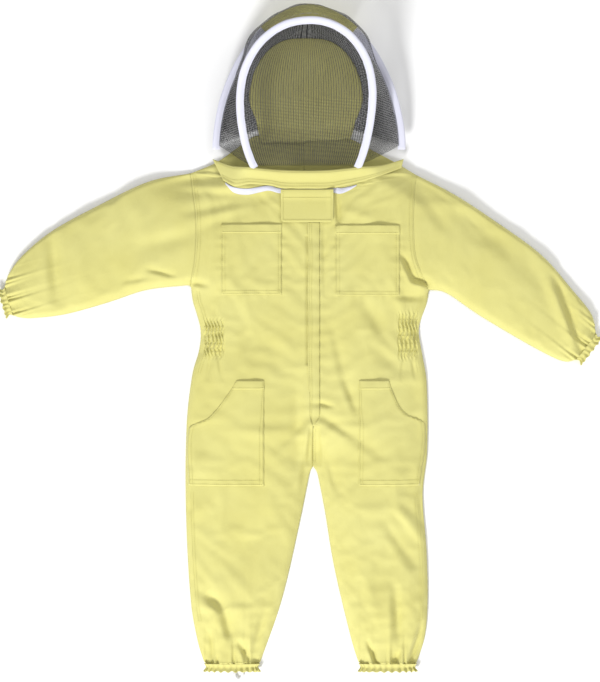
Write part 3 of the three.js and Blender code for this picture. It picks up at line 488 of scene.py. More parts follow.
SLEEVES = {
    -1: {
        "top": [SHOULDER_LEFT, (-0.303, 0.319), (-0.403, 0.271), (-0.491, 0.223),
                (-0.549, 0.176), (-0.578, 0.138), (-0.588, 0.108)],
        "bottom": [UNDERARM_LEFT, (-0.305, 0.103), (-0.379, 0.079), (-0.465, 0.055),
                   (-0.530, 0.047), (-0.558, 0.048), (-0.571, 0.052)],
        "armhole": armhole_left,
    },
    1: {
        "top": [SHOULDER_RIGHT, (0.307, 0.295), (0.381, 0.247), (0.481, 0.175),
                (0.545, 0.103), (0.583, 0.055), (0.592, 0.016)],
        "bottom": [UNDERARM_RIGHT, (0.293, 0.097), (0.355, 0.055), (0.435, 0.007),
                   (0.497, -0.027), (0.530, -0.040), (0.551, -0.037)],
        "armhole": armhole_right,
    },
}
for shape in SLEEVES.values():
    shape["top_edge"] = spline(shape["top"])
    shape["bottom_edge"] = spline(shape["bottom"])


def sleeve_point(side, share_across, t, back):
    """Across runs from the underarm edge to the top edge, t from the armhole to the wrist."""
    shape = SLEEVES[side]
    top, bottom = shape["top_edge"](t), shape["bottom_edge"](t)
    at = bottom.lerp(top, share_across)
    root = shape["bottom_edge"](0).lerp(shape["top_edge"](0), share_across)
    at = at + (shape["armhole"](share_across) - root) * (1 - ease(t, 0, 0.3))
    rise = mix(SLEEVE_RISE, WRIST_RISE, t ** 1.5)
    across = share_across * 2 - 1
    round_up = (1 - across * across) ** 0.31
    z = mix(EDGE_Z, rise, round_up)
    if back:
        z = mix(ON_FLOOR, EDGE_Z, abs(across) ** 8)
    else:
        seam = shape["armhole"](share_across)
        z = mix(max(EDGE_Z, front_z(seam.x, seam.y)), z, ease(t, 0, 0.22))
        if share_across in (0.0, 1.0):
            z = EDGE_Z
    return at, z


# ------------------------------------------------------------------ front layer of the coverall, as one cloth
PANEL_LEFT, PANEL_RIGHT, ARM_LEFT, ARM_RIGHT = 1, 2, 3, 4


def garment(back):
    """Mesh of one whole layer, its faces marked with the panel that they belong to."""
    bm = bmesh.new()
    panel = bm.faces.layers.int.new("panel")
    for side, mark in ((-1, PANEL_LEFT), (1, PANEL_RIGHT)):
        def place(u, v):
            row = round(v * ALL_ROWS)
            at = half_point(side, u, row, back)
            if back:
                edge = abs(u * 2 - 1) if row < LEG_ROWS else 1 - u
                z = mix(ON_FLOOR, EDGE_Z, clamp(edge) ** 12)
            else:
                z = max(EDGE_Z, front_z(at.x, at.y))
                at_armhole = LEG_ROWS + TORSO_ROWS < row < LEG_ROWS + TORSO_ROWS + ARM_ROWS
                if (u == 0 and not at_armhole) or (row < LEG_ROWS and u == 1):
                    z = EDGE_Z
            return placed(at.x, at.y, z)
        made = grid_into(bm, COLUMNS, ALL_ROWS, place)
        for vert in made:
            for face in vert.link_faces:
                face[panel] = mark
    for side, mark in ((-1, ARM_LEFT), (1, ARM_RIGHT)):
        def place(u, v):
            at, z = sleeve_point(side, v, u, back)
            return placed(at.x, at.y, z)
        made = grid_into(bm, SLEEVE_COLUMNS, ARM_ROWS, place)
        for vert in made:
            for face in vert.link_faces:
                face[panel] = mark
    bmesh.ops.remove_doubles(bm, verts=bm.verts, dist=2e-4)
    bmesh.ops.recalc_face_normals(bm, faces=bm.faces)
    if sum(face.normal.z for face in bm.faces) < 0:
        bmesh.ops.reverse_faces(bm, faces=bm.faces)
    mesh = bpy.data.meshes.new("layer")
    bm.to_mesh(mesh)
    bm.free()
    return mesh


FORM_SINK = 0.0035                  # how far the form lies below the cloth
CLOTH_EXCESS = 0.014                # share by which the cloth is cut larger than the form
DRAPE_FRAMES = 28
MOST_SETTLING = 0.012


def drape(mesh):
    """Lets slightly oversized cloth settle on a smooth form of the same shape, held along its edges."""
    scene = bpy.context.scene
    cloth = bpy.data.objects.new("draped", mesh)
    form = bpy.data.objects.new("form", mesh.copy())
    for obj in (cloth, form):
        scene.collection.objects.link(obj)
    for vert in form.data.vertices:
        vert.co.z -= FORM_SINK
    bm = bmesh.new()
    bm.from_mesh(mesh)
    held = [vert.index for vert in bm.verts if vert.is_boundary]
    bm.free()
    group = cloth.vertex_groups.new(name="held")
    group.add(held, 1.0, "REPLACE")
    form.modifiers.new("collide", "COLLISION")
    form.collision.thickness_outer = 0.001
    form.collision.cloth_friction = 12
    modifier = cloth.modifiers.new("cloth", "CLOTH")
    settings = modifier.settings
    settings.quality = 6
    settings.mass = 0.25
    settings.tension_stiffness = 30
    settings.compression_stiffness = 30
    settings.shear_stiffness = 12
    settings.bending_stiffness = 3.0
    settings.shrink_min = -CLOTH_EXCESS
    settings.shrink_max = -CLOTH_EXCESS
    settings.vertex_group_mass = "held"
    modifier.collision_settings.distance_min = 0.0012
    modifier.collision_settings.collision_quality = 2
    modifier.point_cache.frame_start = 1
    modifier.point_cache.frame_end = 40
    start = points_of(mesh)
    for step in range(1, DRAPE_FRAMES + 1):
        scene.frame_set(step)
    evaluated = cloth.evaluated_get(bpy.context.evaluated_depsgraph_get())
    settled = points_of(evaluated.data).copy()
    move = settled - start
    length = np.linalg.norm(move, axis=1, keepdims=True)
    settled = start + move * np.minimum(1.0, MOST_SETTLING / np.maximum(length, 1e-9))
    cloth.modifiers.clear()
    mesh.vertices.foreach_set("co", settled.ravel())
    scene.frame_set(1)
    for obj in (cloth, form):
        bpy.data.objects.remove(obj)
    return mesh


# ------------------------------------------------------------------ folds, seams and gathers on the front
def along_segment(points, start, end):
    """Share along a line and signed distance from it, for points in the suit's own plan."""
    start, end = np.array(start), np.array(end)
    line = end - start
    length = np.linalg.norm(line)
    unit = line / length
    offset = points - start
    return offset @ unit / length, offset[:, 1] * unit[0] - offset[:, 0] * unit[1]


def fold(points, start, end, width, depth, skew=0.0):
    """A soft valley (depth below 0) or ridge that fades out at both ends; skew raises one of its banks."""
    share, off = along_segment(points, start, end)
    inside = np.clip(share, 0, 1)
    length = math.dist(start, end)
    beyond = np.abs(share - inside) * length
    fade = np.sin(np.pi * np.clip(inside * 0.84 + 0.08, 0, 1)) ** 0.8 * np.exp(-(beyond / width) ** 2)
    wave = np.exp(-(off / width) ** 2)
    bank = skew * (off / width) * np.exp(-(off / (1.6 * width)) ** 2)
    return depth * fade * (wave + bank)


FOLDS = (
    # start, end, width, depth, skew
    ((-0.493, 0.205), (-0.483, 0.070), 0.013, -0.005, 0.4),        # left sleeve, across the forearm
    ((-0.430, 0.250), (-0.440, 0.090), 0.020, 0.0025, 0.0),
    ((-0.299, 0.143), (-0.250, 0.131), 0.005, -0.003, 0.3),
    ((-0.345, 0.120), (-0.305, 0.126), 0.006, -0.002, 0.3),
    ((-0.222, 0.120), (-0.185, 0.112), 0.006, -0.004, 0.3),
    ((-0.060, 0.290), (-0.235, 0.298), 0.010, -0.0030, 0.5),       # left shoulder, out from the neck
    ((-0.065, 0.282), (-0.225, 0.255), 0.011, -0.0032, -0.5),
    ((-0.075, 0.272), (-0.205, 0.222), 0.012, -0.0022, 0.5),
    ((-0.150, 0.335), (-0.260, 0.322), 0.014, -0.0040, 0.6),
    ((-0.205, 0.215), (-0.320, 0.190), 0.016, -0.0028, 0.4),
    ((0.507, 0.125), (0.561, -0.017), 0.009, -0.0060, 0.9),        # right sleeve, along the forearm
    ((0.455, 0.170), (0.520, 0.030), 0.016, -0.0022, -0.4),
    ((0.360, 0.235), (0.470, 0.120), 0.020, -0.0026, 0.4),
    ((0.285, 0.280), (0.400, 0.190), 0.018, -0.0030, -0.4),
    ((0.232, 0.300), (0.300, 0.215), 0.014, -0.0026, 0.4),
    ((0.205, 0.168), (0.226, 0.120), 0.006, -0.0060, 0.7),         # right underarm
    ((0.224, 0.124), (0.262, 0.112), 0.006, -0.0060, 0.7),
    ((0.190, 0.090), (0.240, 0.088), 0.008, -0.0030, 0.3),
    ((0.121, 0.085), (0.165, 0.015), 0.016, -0.0038, 0.4),         # right chest and belly
    ((0.048, 0.233), (0.049, 0.095), 0.006, -0.0022, 0.4),
    ((0.072, 0.292), (0.076, 0.236), 0.0045, -0.0042, 0.7),
    ((0.078, 0.262), (0.140, 0.243), 0.010, 0.0016, 0.3),
    ((0.067, 0.023), (0.091, -0.087), 0.010, -0.0022, 0.5),
    ((0.091, -0.080), (0.112, -0.140), 0.008, -0.0030, 0.6),
    ((0.150, -0.020), (0.205, -0.060), 0.014, -0.0024, 0.3),
    ((0.029, -0.121), (0.064, -0.128), 0.005, -0.0030, 0.3),       # crotch
    ((0.040, -0.147), (0.100, -0.185), 0.009, -0.0032, 0.6),
    ((0.095, -0.180), (0.165, -0.232), 0.012, -0.0022, 0.5),
    ((0.022, -0.150), (-0.045, -0.215), 0.009, -0.0026, -0.6),
    ((-0.001, -0.077), (-0.003, -0.262), 0.014, -0.0042, -0.4),
    ((0.029, -0.178), (0.031, -0.246), 0.0055, -0.0062, 0.0),
    ((0.021, -0.172), (0.017, -0.244), 0.0035, -0.0034, 0.6),
    ((0.037, -0.172), (0.042, -0.244), 0.0035, -0.0034, -0.6),
    ((0.018, -0.200), (0.002, -0.300), 0.006, -0.0022, 0.5),
    ((0.042, -0.190), (0.054, -0.300), 0.006, -0.0022, -0.5),
    ((0.040, -0.200), (0.075, -0.300), 0.009, -0.0032, 0.5),
    ((-0.120, 0.060), (-0.090, -0.030), 0.020, -0.0022, 0.3),      # left belly
    ((-0.060, 0.020), (-0.040, -0.060), 0.018, -0.0016, -0.3),
    ((-0.189, -0.500), (-0.149, -0.537), 0.010, -0.0062, 0.6),     # left leg
    ((-0.152, -0.533), (-0.135, -0.600), 0.010, -0.0060, 0.6),
    ((-0.120, -0.600), (-0.099, -0.640), 0.006, -0.0050, 0.5),
    ((-0.100, -0.380), (-0.150, -0.470), 0.020, -0.0026, 0.3),
    ((-0.060, -0.330), (-0.090, -0.420), 0.018, -0.0022, -0.3),
    ((-0.070, -0.540), (-0.095, -0.625), 0.008, -0.0034, 0.4),
    ((-0.175, -0.580), (-0.168, -0.640), 0.006, -0.0036, -0.4),
    ((0.233, -0.317), (0.131, -0.520), 0.026, -0.0058, 0.4),       # right leg
    ((0.191, -0.327), (0.244, -0.397), 0.010, 0.0032, 0.4),
    ((0.170, -0.360), (0.232, -0.452), 0.012, -0.0030, 0.4),
    ((0.191, -0.495), (0.196, -0.600), 0.011, -0.0060, 0.5),
    ((0.137, -0.600), (0.153, -0.645), 0.005, -0.0055, 0.5),
    ((0.198, -0.618), (0.191, -0.648), 0.006, -0.0050, -0.5),
    ((0.244, -0.562), (0.217, -0.648), 0.006, -0.0050, 0.5),
    ((0.120, -0.480), (0.150, -0.590), 0.012, -0.0026, -0.4),
)


def pleats(points, low, high, count, rows, depth, lean):
    """Elastic gathers: tall narrow pleats that zigzag from one row of stitches to the next."""
    across = (points[:, 0] - low[0]) / (high[0] - low[0])
    up = (points[:, 1] - low[1]) / (high[1] - low[1])
    inside = (np.clip(np.minimum(across + 0.04, 1.04 - across) / 0.14, 0, 1)
              * np.clip(np.minimum(up + 0.28, 1.28 - up) / 0.3, 0, 1))
    zigzag = np.arcsin(np.sin(np.pi * up * rows)) / np.pi
    shift = lean * zigzag + 0.22 * np.sin(up * 5 + across * 4)
    wave = 1 - 2 * np.abs(np.sin(np.pi * (across * count + shift))) ** 0.7
    pinch = 1 - 0.30 * np.exp(-(np.sin(np.pi * up * rows) / 0.35) ** 2)
    return inside * depth * (wave * pinch - 0.3)


def hem_gathers(points, x_from, x_to, count, depth):
    """Pleats that run up from a gathered ankle hem and fade out."""
    across = (points[:, 0] - x_from) / (x_to - x_from)
    up = points[:, 1] - HEM_Y
    inside = np.clip(np.minimum(across + 0.1, 1.1 - across) / 0.15, 0, 1) * (across > -0.1) * (across < 1.1)
    wander = across * count + 0.35 * np.sin(across * 9) + 0.2 * np.sin(across * 23 + 1)
    short = np.exp(-np.maximum(up, 0) / 0.020) * np.cos(2 * np.pi * wander)
    long_wave = np.exp(-np.maximum(up, 0) / 0.060) * np.cos(2 * np.pi * wander * 0.5 + 0.7)
    return inside * depth * (0.7 * short + 0.6 * long_wave)


def wrist_gathers(points, side, count, depth):
    shape = SLEEVES[side]
    top, bottom = np.array(shape["top_edge"](1)), np.array(shape["bottom_edge"](1))
    share, off = along_segment(points, bottom, top)
    off = np.abs(off)
    near = np.exp(-off / 0.020)
    far = np.exp(-off / 0.055)
    inside = (share > -0.6) & (share < 1.6) & (off < 0.2)
    wander = share * count + 0.3 * np.sin(share * 11)
    return inside * depth * (near * np.cos(2 * np.pi * wander) + 0.5 * far * np.cos(np.pi * wander + 0.4))


def pucker(points, start, end, period, reach, depth):
    """Small ripples that a line of stitches draws into the cloth."""
    share, off = along_segment(points, start, end)
    length = math.dist(start, end)
    inside = np.clip(np.minimum(share, 1 - share) * length / 0.01 + 1, 0, 1)
    ripple = np.sin(2 * np.pi * share * length / period + 0.8 * np.sin(share * 17))
    return depth * inside * np.exp(-np.abs(off) / reach) * ripple


def seam_line(points, start, end, width, depth):
    share, off = along_segment(points, start, end)
    inside = (share >= 0) & (share <= 1)
    return -depth * inside * np.exp(-(off / width) ** 2)


PLACKET_SEAM_X = 0.041
PLACKET_LEFT = ZIP_X - ZIP_SLOT / 2 - 0.004
CHEST = {-1: (-0.155, -0.035, 0.093, 0.233), 1: (0.071, 0.199, 0.091, 0.231)}
HIP_LEFT_INNER, HIP_RIGHT_INNER = -0.070, 0.118
HIP_TOP, HIP_BOTTOM = -0.077, -0.287

FOLD_STRENGTH = 1.7
GATHER_DEPTH = 0.0030
CHEST_POCKET_TOP = 0.232


def sculpt_front(plan):
    """Extra height of the front at each point of the plan."""
    z = np.zeros(len(plan))
    for start, end, width, depth, skew in FOLDS:
        z += FOLD_STRENGTH * fold(plan, start, end, width, depth, skew)
    for low, high, lean in (((-0.190, -0.022), (-0.150, 0.034), 0.55),
                            ((0.195, -0.022), (0.237, 0.044), -0.55)):
        z += pleats(plan, low, high, 5.5, 4, GATHER_DEPTH, lean)
    for x, sign in ((-0.176, -1), (-0.163, 1), (0.209, -1), (0.222, 1)):
        z += fold(plan, (x, -0.020), (x + sign * 0.008, -0.075), 0.004, -0.0022, 0.4)
        z += fold(plan, (x, 0.040), (x - sign * 0.004, 0.070), 0.004, -0.0018, 0.4)
    z += hem_gathers(plan, *HEM_LEFT, 9, GATHER_DEPTH)
    z += hem_gathers(plan, *HEM_RIGHT, 8, GATHER_DEPTH)
    for side in (-1, 1):
        z += wrist_gathers(plan, side, 5, GATHER_DEPTH)
    z += pucker(plan, (PLACKET_SEAM_X, ZIP_BOTTOM), (PLACKET_SEAM_X, CHEST_POCKET_TOP), 0.025, 0.014, 0.0006)
    z += pucker(plan, (ZIP_X - 0.012, ZIP_BOTTOM), (ZIP_X - 0.012, CHEST_POCKET_TOP), 0.028, 0.010, 0.0005)
    for left, right, low, high in CHEST.values():
        for start, end in (((left, low), (left, high)), ((left, low), (right, low)),
                           ((right, low), (right, high))):
            z += pucker(plan, start, end, 0.021, 0.010, 0.0006)
    z += seam_line(plan, (CROTCH_X, -0.245), (CROTCH_X, ZIP_BOTTOM - 0.01), 0.003, 0.0015)
    z += seam_line(plan, (PLACKET_LEFT - 0.001, -0.045), (PLACKET_LEFT - 0.001, 0.210), 0.0028, 0.0034)
    return z


def surface_noise(points):
    """Slow undulation of washed cotton, the same each time."""
    return np.array([
        0.0022 * noise.noise(Vector((p[0] * 9, p[1] * 9, 0.3)))
        + 0.0013 * noise.noise(Vector((p[0] * 24 + 5, p[1] * 20, 1.7)))
        for p in points])


front_mesh = garment(back=False)
front_mesh = drape(front_mesh)
front_layer = bpy.data.objects.new("front_layer", front_mesh)
bpy.context.scene.collection.objects.link(front_layer)
subdivide_smooth(front_layer, 2)
front_mesh = front_layer.data


def refine(mesh, areas, cuts):
    """Finer cloth inside rectangles of the plan, where the pleats are narrow."""
    bm = bmesh.new()
    bm.from_mesh(mesh)
    edges = [edge for edge in bm.edges if all(
        any(x0 < v.co.x - SHIFT_X < x1 and y0 < v.co.y - SHIFT_Y < y1 for x0, x1, y0, y1 in areas)
        for v in edge.verts)]
    bmesh.ops.subdivide_edges(bm, edges=edges, cuts=cuts, use_grid_fill=True)
    bm.to_mesh(mesh)
    bm.free()


refine(front_mesh, ((-0.200, -0.140, -0.060, 0.070), (0.185, 0.246, -0.060, 0.080)), 2)
front_points = points_of(front_mesh)
front_plan = front_points[:, :2] - np.array([SHIFT_X, SHIFT_Y])
border_fade = np.clip((front_points[:, 2] - EDGE_Z) / 0.004, 0.15, 1)
front_points[:, 2] += (sculpt_front(front_plan) + surface_noise(front_plan)) * border_fade
front_points[:, 2] = np.maximum(front_points[:, 2], EDGE_Z * 0.6)
front_mesh.vertices.foreach_set("co", front_points.ravel())
front_mesh.update()

back_mesh = garment(back=True)
back_layer = bpy.data.objects.new("back_layer", back_mesh)
bpy.context.scene.collection.objects.link(back_layer)
subdivide_smooth(back_layer, 1)
back_mesh = back_layer.data

surface_bm = bmesh.new()
surface_bm.from_mesh(front_mesh)
surface_tree = BVHTree.FromBMesh(surface_bm)
surface_bm.free()


def surface_z(x, y):
    """Height of the draped front under a point of the plan."""
    at = placed(x, y, 1.0)
    hit = surface_tree.ray_cast(at, Vector((0, 0, -1)))[0]
    return hit.z if hit else EDGE_Z


def panel_bmesh(mesh, mark):
    bm = bmesh.new()
    bm.from_mesh(mesh)
    panel = bm.faces.layers.int["panel"]
    bmesh.ops.delete(bm, geom=[face for face in bm.faces if face[panel] != mark], context="FACES")
    return bm


def cloth_piece(name, parts, body, replaced):
    """Joins marked panels of the layers into one piece with a thickness."""
    whole = bmesh.new()
    for mesh, mark in parts:
        part = panel_bmesh(mesh, mark)
        if mesh is back_mesh:
            bmesh.ops.reverse_faces(part, faces=part.faces)
        temporary = bpy.data.meshes.new("part")
        part.to_mesh(temporary)
        part.free()
        whole.from_mesh(temporary)
        bpy.data.meshes.remove(temporary)
    bmesh.ops.solidify(whole, geom=whole.faces[:], thickness=CLOTH)
    return finish_piece(whole, name, YELLOW, body, replaced)


cloth_piece("front_left", [(front_mesh, PANEL_LEFT)], "coverall", ["front_left_panel"])
cloth_piece("front_right", [(front_mesh, PANEL_RIGHT)], "coverall", ["front_right_panel"])
cloth_piece("back_left", [(back_mesh, PANEL_LEFT)], "coverall", ["back_left_panel"])
cloth_piece("back_right", [(back_mesh, PANEL_RIGHT)], "coverall", ["back_right_panel"])
left_arm = cloth_piece("arm_left", [(front_mesh, ARM_LEFT), (back_mesh, ARM_LEFT)], None, ["sleeve_left"])
right_arm = cloth_piece("arm_right", [(front_mesh, ARM_RIGHT), (back_mesh, ARM_RIGHT)], None,
                        ["sleeve_right"])
for layer in (front_layer, back_layer):
    bpy.data.objects.remove(layer)

# ------------------------------------------------------------------ stitches
def stitch(bm, start, end, width, height):
    """One sewn stitch, a short rounded bar that lies on the cloth."""
    middle = (start + end) / 2
    line = end - start
    turn = line.to_track_quat("X", "Z").to_matrix().to_4x4()
    made = bmesh.ops.create_cube(bm, size=1)["verts"]
    for vert in made:
        taper = 0.7 if vert.co.z > 0 else 1.0
        vert.co = Vector((vert.co.x * line.length * taper, vert.co.y * width * taper, vert.co.z * height))
        vert.co = turn @ vert.co + middle


def sew(bm, path_at, length, pitch=0.0040, share=0.7, width=0.0006, height=0.0006):
    """A row of stitches along path_at(0..1), whose points lie on the cloth."""
    count = max(2, int(length / pitch))
    for index in range(count):
        start = path_at(index / count)
        end = path_at((index + share) / count)
        stitch(bm, start, end, width, height)


def line_length(points):
    return sum((b - a).length for a, b in zip(points, points[1:]))


def polyline(points):
    """Evenly paced path through plan points."""
    lengths = [0.0]
    for a, b in zip(points, points[1:]):
        lengths.append(lengths[-1] + (Vector(b) - Vector(a)).length)

    def at(share):
        goal = share * lengths[-1]
        index = next((i for i in range(len(points) - 1) if lengths[i + 1] >= goal), len(points) - 2)
        part = clamp((goal - lengths[index]) / max(lengths[index + 1] - lengths[index], 1e-9))
        return Vector(points[index]).lerp(Vector(points[index + 1]), part)
    return at, lengths[-1]


def sew_on(bm, plan_points, height_at, lift, **options):
    at, length = polyline(plan_points)

    def path(share):
        p = at(share)
        return placed(p.x, p.y, height_at(p.x, p.y) + lift)
    sew(bm, path, length, **options)


def offset_line(points, distance):
    """The same plan line, moved sideways to its left."""
    moved = []
    for index, p in enumerate(points):
        a = Vector(points[max(0, index - 1)])
        b = Vector(points[min(len(points) - 1, index + 1)])
        ahead = (b - a).normalized()
        moved.append(Vector(p) + Vector((-ahead.y, ahead.x)) * distance)
    return moved


# ------------------------------------------------------------------ pockets
POCKET_LIFT = 0.0008


def pocket(name, bottom, top, left_at, right_at, mouth, replaced, columns=36, rows=44):
    """Patch pocket: a sheet over the front, hugging it at its sewn edges and fuller between them."""
    def shape(u, v, extra):
        y = mix(bottom, top, v)
        x = mix(left_at(y), right_at(y), u)
        sewn = min(u, 1 - u, v) * 12
        gape = mouth * ease(v, 0.72, 1) * math.exp(-((u - 0.66) / 0.16) ** 2)
        puff = 0.0008 * clamp(sewn)
        ripple = 0.0005 * math.sin((x + y) * 260) * math.exp(-sewn * 1.5)
        crease = 0.0010 * noise.noise(Vector((x * 22, y * 16, len(name))))
        return x, y, surface_z(x, y) + POCKET_LIFT + puff + gape + ripple + crease * clamp(sewn) + extra

    def place(u, v):
        return placed(*shape(u, v, 0.0))
    bm = bmesh.new()
    grid_into(bm, columns, rows, place)
    hem_low = 1 - 0.018 / (top - bottom)

    def hem(u, v):
        return placed(*shape(u, mix(hem_low, 1, v), 0.0004))
    thicken(bm, CLOTH, faces_up)
    strip = bmesh.new()
    grid_into(strip, columns, 6, hem)
    thicken(strip, CLOTH, faces_up)
    joined = bpy.data.meshes.new("hem")
    strip.to_mesh(joined)
    strip.free()
    bm.from_mesh(joined)
    bpy.data.meshes.remove(joined)
    finish_piece(bm, name, YELLOW, "coverall", [replaced])
    return shape


hip_left_edge = profile((HIP_BOTTOM, -0.222), (-0.171, -0.220), (-0.153, -0.183), (-0.103, -0.141),
                        (HIP_TOP, -0.125))
hip_right_edge = profile((HIP_BOTTOM, 0.240), (-0.163, 0.250), (-0.145, 0.214), (-0.120, 0.194),
                         (HIP_TOP, 0.177))
pockets = {}
for label, side in (("left", -1), ("right", 1)):
    x0, x1, y0, y1 = CHEST[side]
    pockets["chest_" + label] = pocket("breast_pocket_" + label, y0, y1, lambda y, x=x0: x, lambda y, x=x1: x,
                                       0.0035 if side > 0 else 0.0015, "chest_pocket_" + label)
pockets["hip_left"] = pocket("side_pocket_left", HIP_BOTTOM, HIP_TOP, hip_left_edge, lambda y: HIP_LEFT_INNER,
                             0.001, "hip_pocket_left")
pockets["hip_right"] = pocket("side_pocket_right", HIP_BOTTOM, HIP_TOP, lambda y: HIP_RIGHT_INNER,
                              hip_right_edge, 0.001, "hip_pocket_right")

stitches = bmesh.new()


def pocket_rows(shape):
    """Double rows of stitches round the sewn sides of a pocket."""
    for inset in (0.016, 0.060):
        for fixed in ("left", "bottom", "right"):
            def path(share, fixed=fixed, inset=inset):
                if fixed == "left":
                    u, v = inset, mix(0.98, 0.02, share)
                elif fixed == "bottom":
                    u, v = mix(0.02, 0.98, share), inset * 0.9
                else:
                    u, v = 1 - inset, mix(0.02, 0.98, share)
                return placed(*shape(u, v, 0.0006))
            a, b = path(0), path(1)
            sew(stitches, path, max((b - a).length, 0.08))


for key, shape in pockets.items():
    pocket_rows(shape)
    height = 0.139 if key.startswith("chest") else 0.210

    def hem_row(share, shape=shape, height=height):
        return placed(*shape(mix(0.02, 0.98, share), 1 - 0.0155 / height, 0.0009))
    a, b = hem_row(0), hem_row(1)
    sew(stitches, hem_row, (b - a).length)

# ------------------------------------------------------------------ placket over the front zip
PLACKET_TOP = 0.2375
PLACKET_LIFT = 0.0018


def placket_height(u, y):
    """Height of the flap over the slot: sewn down at the right edge, slightly wavy at the free one."""
    x = mix(PLACKET_LEFT, PLACKET_SEAM_X, u)
    left, right = surface_z(PLACKET_LEFT - 0.006, y), surface_z(PLACKET_SEAM_X + 0.001, y)
    base = mix(left, right, u) - 0.0024 * u ** 3
    free = (1 - u) ** 1.5 * (0.0007 * math.sin(y * 61) + 0.0005 * math.sin(y * 143 + 1))
    pulled = u ** 2 * 0.0005 * math.sin(y * 250)
    z = base + PLACKET_LIFT + 0.0008 * math.sin(math.pi * u) + free + pulled
    return x + (1 - u) * 0.0010 * math.sin(y * 47), z


def placket_place(u, v):
    y = mix(ZIP_BOTTOM, PLACKET_TOP, v)
    x, z = placket_height(u, y)
    return placed(x, y, z)


sheet_piece("zip_cover", placket_place, 8, 110, 0.0012, YELLOW, "placket_flap", ["placket_flap"])
flap_stitches = bmesh.new()
for edge_share in (0.12, 0.30, 0.93):
    sew(flap_stitches,
        lambda share, u=edge_share: placket_place(u, mix(0.01, 0.99, share)) + Vector((0, 0, 0.0007)),
        PLACKET_TOP - ZIP_BOTTOM)
finish_piece(flap_stitches, "zip_cover_stitches", THREAD, "placket_flap", weld=1e-7)

# ------------------------------------------------------------------ neck flap
FLAP_LEFT, FLAP_RIGHT = -0.037, 0.067
FLAP_TOP = 0.3008
COLLAR_Z = 0.042


def neck_flap_place(u, v, lift=0.0):
    y = mix(NECK_FLAP_BOTTOM, FLAP_TOP, v)
    x = mix(FLAP_LEFT, FLAP_RIGHT, u)
    low = TORSO_RISE + 0.0044 + 0.0004 * math.sin(x * 90) * (1 - v)
    z = mix(low, COLLAR_Z + 0.0006, ease(y, FLAP_TOP - 0.024, FLAP_TOP - 0.003))
    curl = 0.0038 * ease(u, 0.84, 1) * ease(v, 0.10, 0.7) - 0.0006 * ease(1 - u, 0.8, 1)
    curl += 0.0006 * math.sin(x * 70 + y * 40) * (1 - v)
    corner = min(u, 1 - u) * (FLAP_RIGHT - FLAP_LEFT), v * (FLAP_TOP - NECK_FLAP_BOTTOM)
    radius = 0.008
    if corner[0] < radius and corner[1] < radius:
        reach = math.hypot(radius - corner[0], radius - corner[1])
        if reach > radius:
            pull = radius / reach
            x += (1 if u < 0.5 else -1) * (radius - corner[0]) * (1 - pull)
            y += (radius - corner[1]) * (1 - pull)
    return placed(x, y, z + curl + lift)


sheet_piece("throat_flap", neck_flap_place, 40, 26, 0.0014, YELLOW, "neck_flap", ["neck_flap"])
flap_stitches = bmesh.new()
FLAP_HEM = 0.045                    # share of the flap between its edge and the stitches
FLAP_THREAD_LIFT = 0.0008
sew(flap_stitches, lambda s: neck_flap_place(mix(0.03, 0.97, s), FLAP_HEM * 1.6, FLAP_THREAD_LIFT), 0.10)
for edge_share in (FLAP_HEM, 1 - FLAP_HEM):
    sew(flap_stitches,
        lambda s, u=edge_share: neck_flap_place(u, mix(0.06, 0.95, s), FLAP_THREAD_LIFT), 0.064)
sew(flap_stitches, lambda s: neck_flap_place(mix(0.03, 0.97, s), 0.75, FLAP_THREAD_LIFT), 0.10)
finish_piece(flap_stitches, "throat_flap_stitches", THREAD, "neck_flap", weld=1e-7)

# ------------------------------------------------------------------ seams of the coverall
def edge_points(edge_at, low, high, count, inset):
    heights = [mix(low, high, i / count) for i in range(count + 1)]
    return offset_line([Vector((edge_at(y), y)) for y in heights], inset)


for inset in (0.0, 0.0045):
    crotch = edge_points(lambda y: CROTCH_X + 0.004, -0.240, ZIP_BOTTOM - 0.004, 10, inset)
    sew_on(stitches, crotch, surface_z, 0.0006)
for armhole, shrink in ((armhole_left, -1), (armhole_right, 1)):
    points = [Vector(armhole(i / 24)) for i in range(1, 24)]
    for inset in (0.003, 0.0085):
        sew_on(stitches, offset_line(points, shrink * inset), surface_z, 0.0006)
for edge, sign, low, high in ((side_left, -1, -0.56, -0.30), (side_right, 1, -0.56, -0.30),
                              (side_left, -1, -0.06, 0.10), (side_right, 1, -0.06, 0.09)):
    for inset in (0.011, 0.016):
        sew_on(stitches, edge_points(edge, low, high, 20, sign * inset), surface_z, 0.0006)


def level_row(x_from, x_to, y, steps):
    points = [Vector((mix(x_from, x_to, i / steps), y)) for i in range(steps + 1)]
    sew_on(stitches, points, surface_z, 0.0005, pitch=0.0034)


for rows_y, low_x, high_x in (((0.029, 0.010, -0.005, -0.021), -0.190, -0.150),
                              ((0.043, 0.027, 0.011, -0.005, -0.020), 0.196, 0.237)):
    for y in rows_y:
        level_row(low_x, high_x, y, 12)
for inner, outer in (HEM_LEFT, HEM_RIGHT):
    level_row(inner + 0.004, outer - 0.004, HEM_Y + 0.0035, 20)
finish_piece(stitches, "seam_stitches", THREAD, "coverall", weld=1e-7)

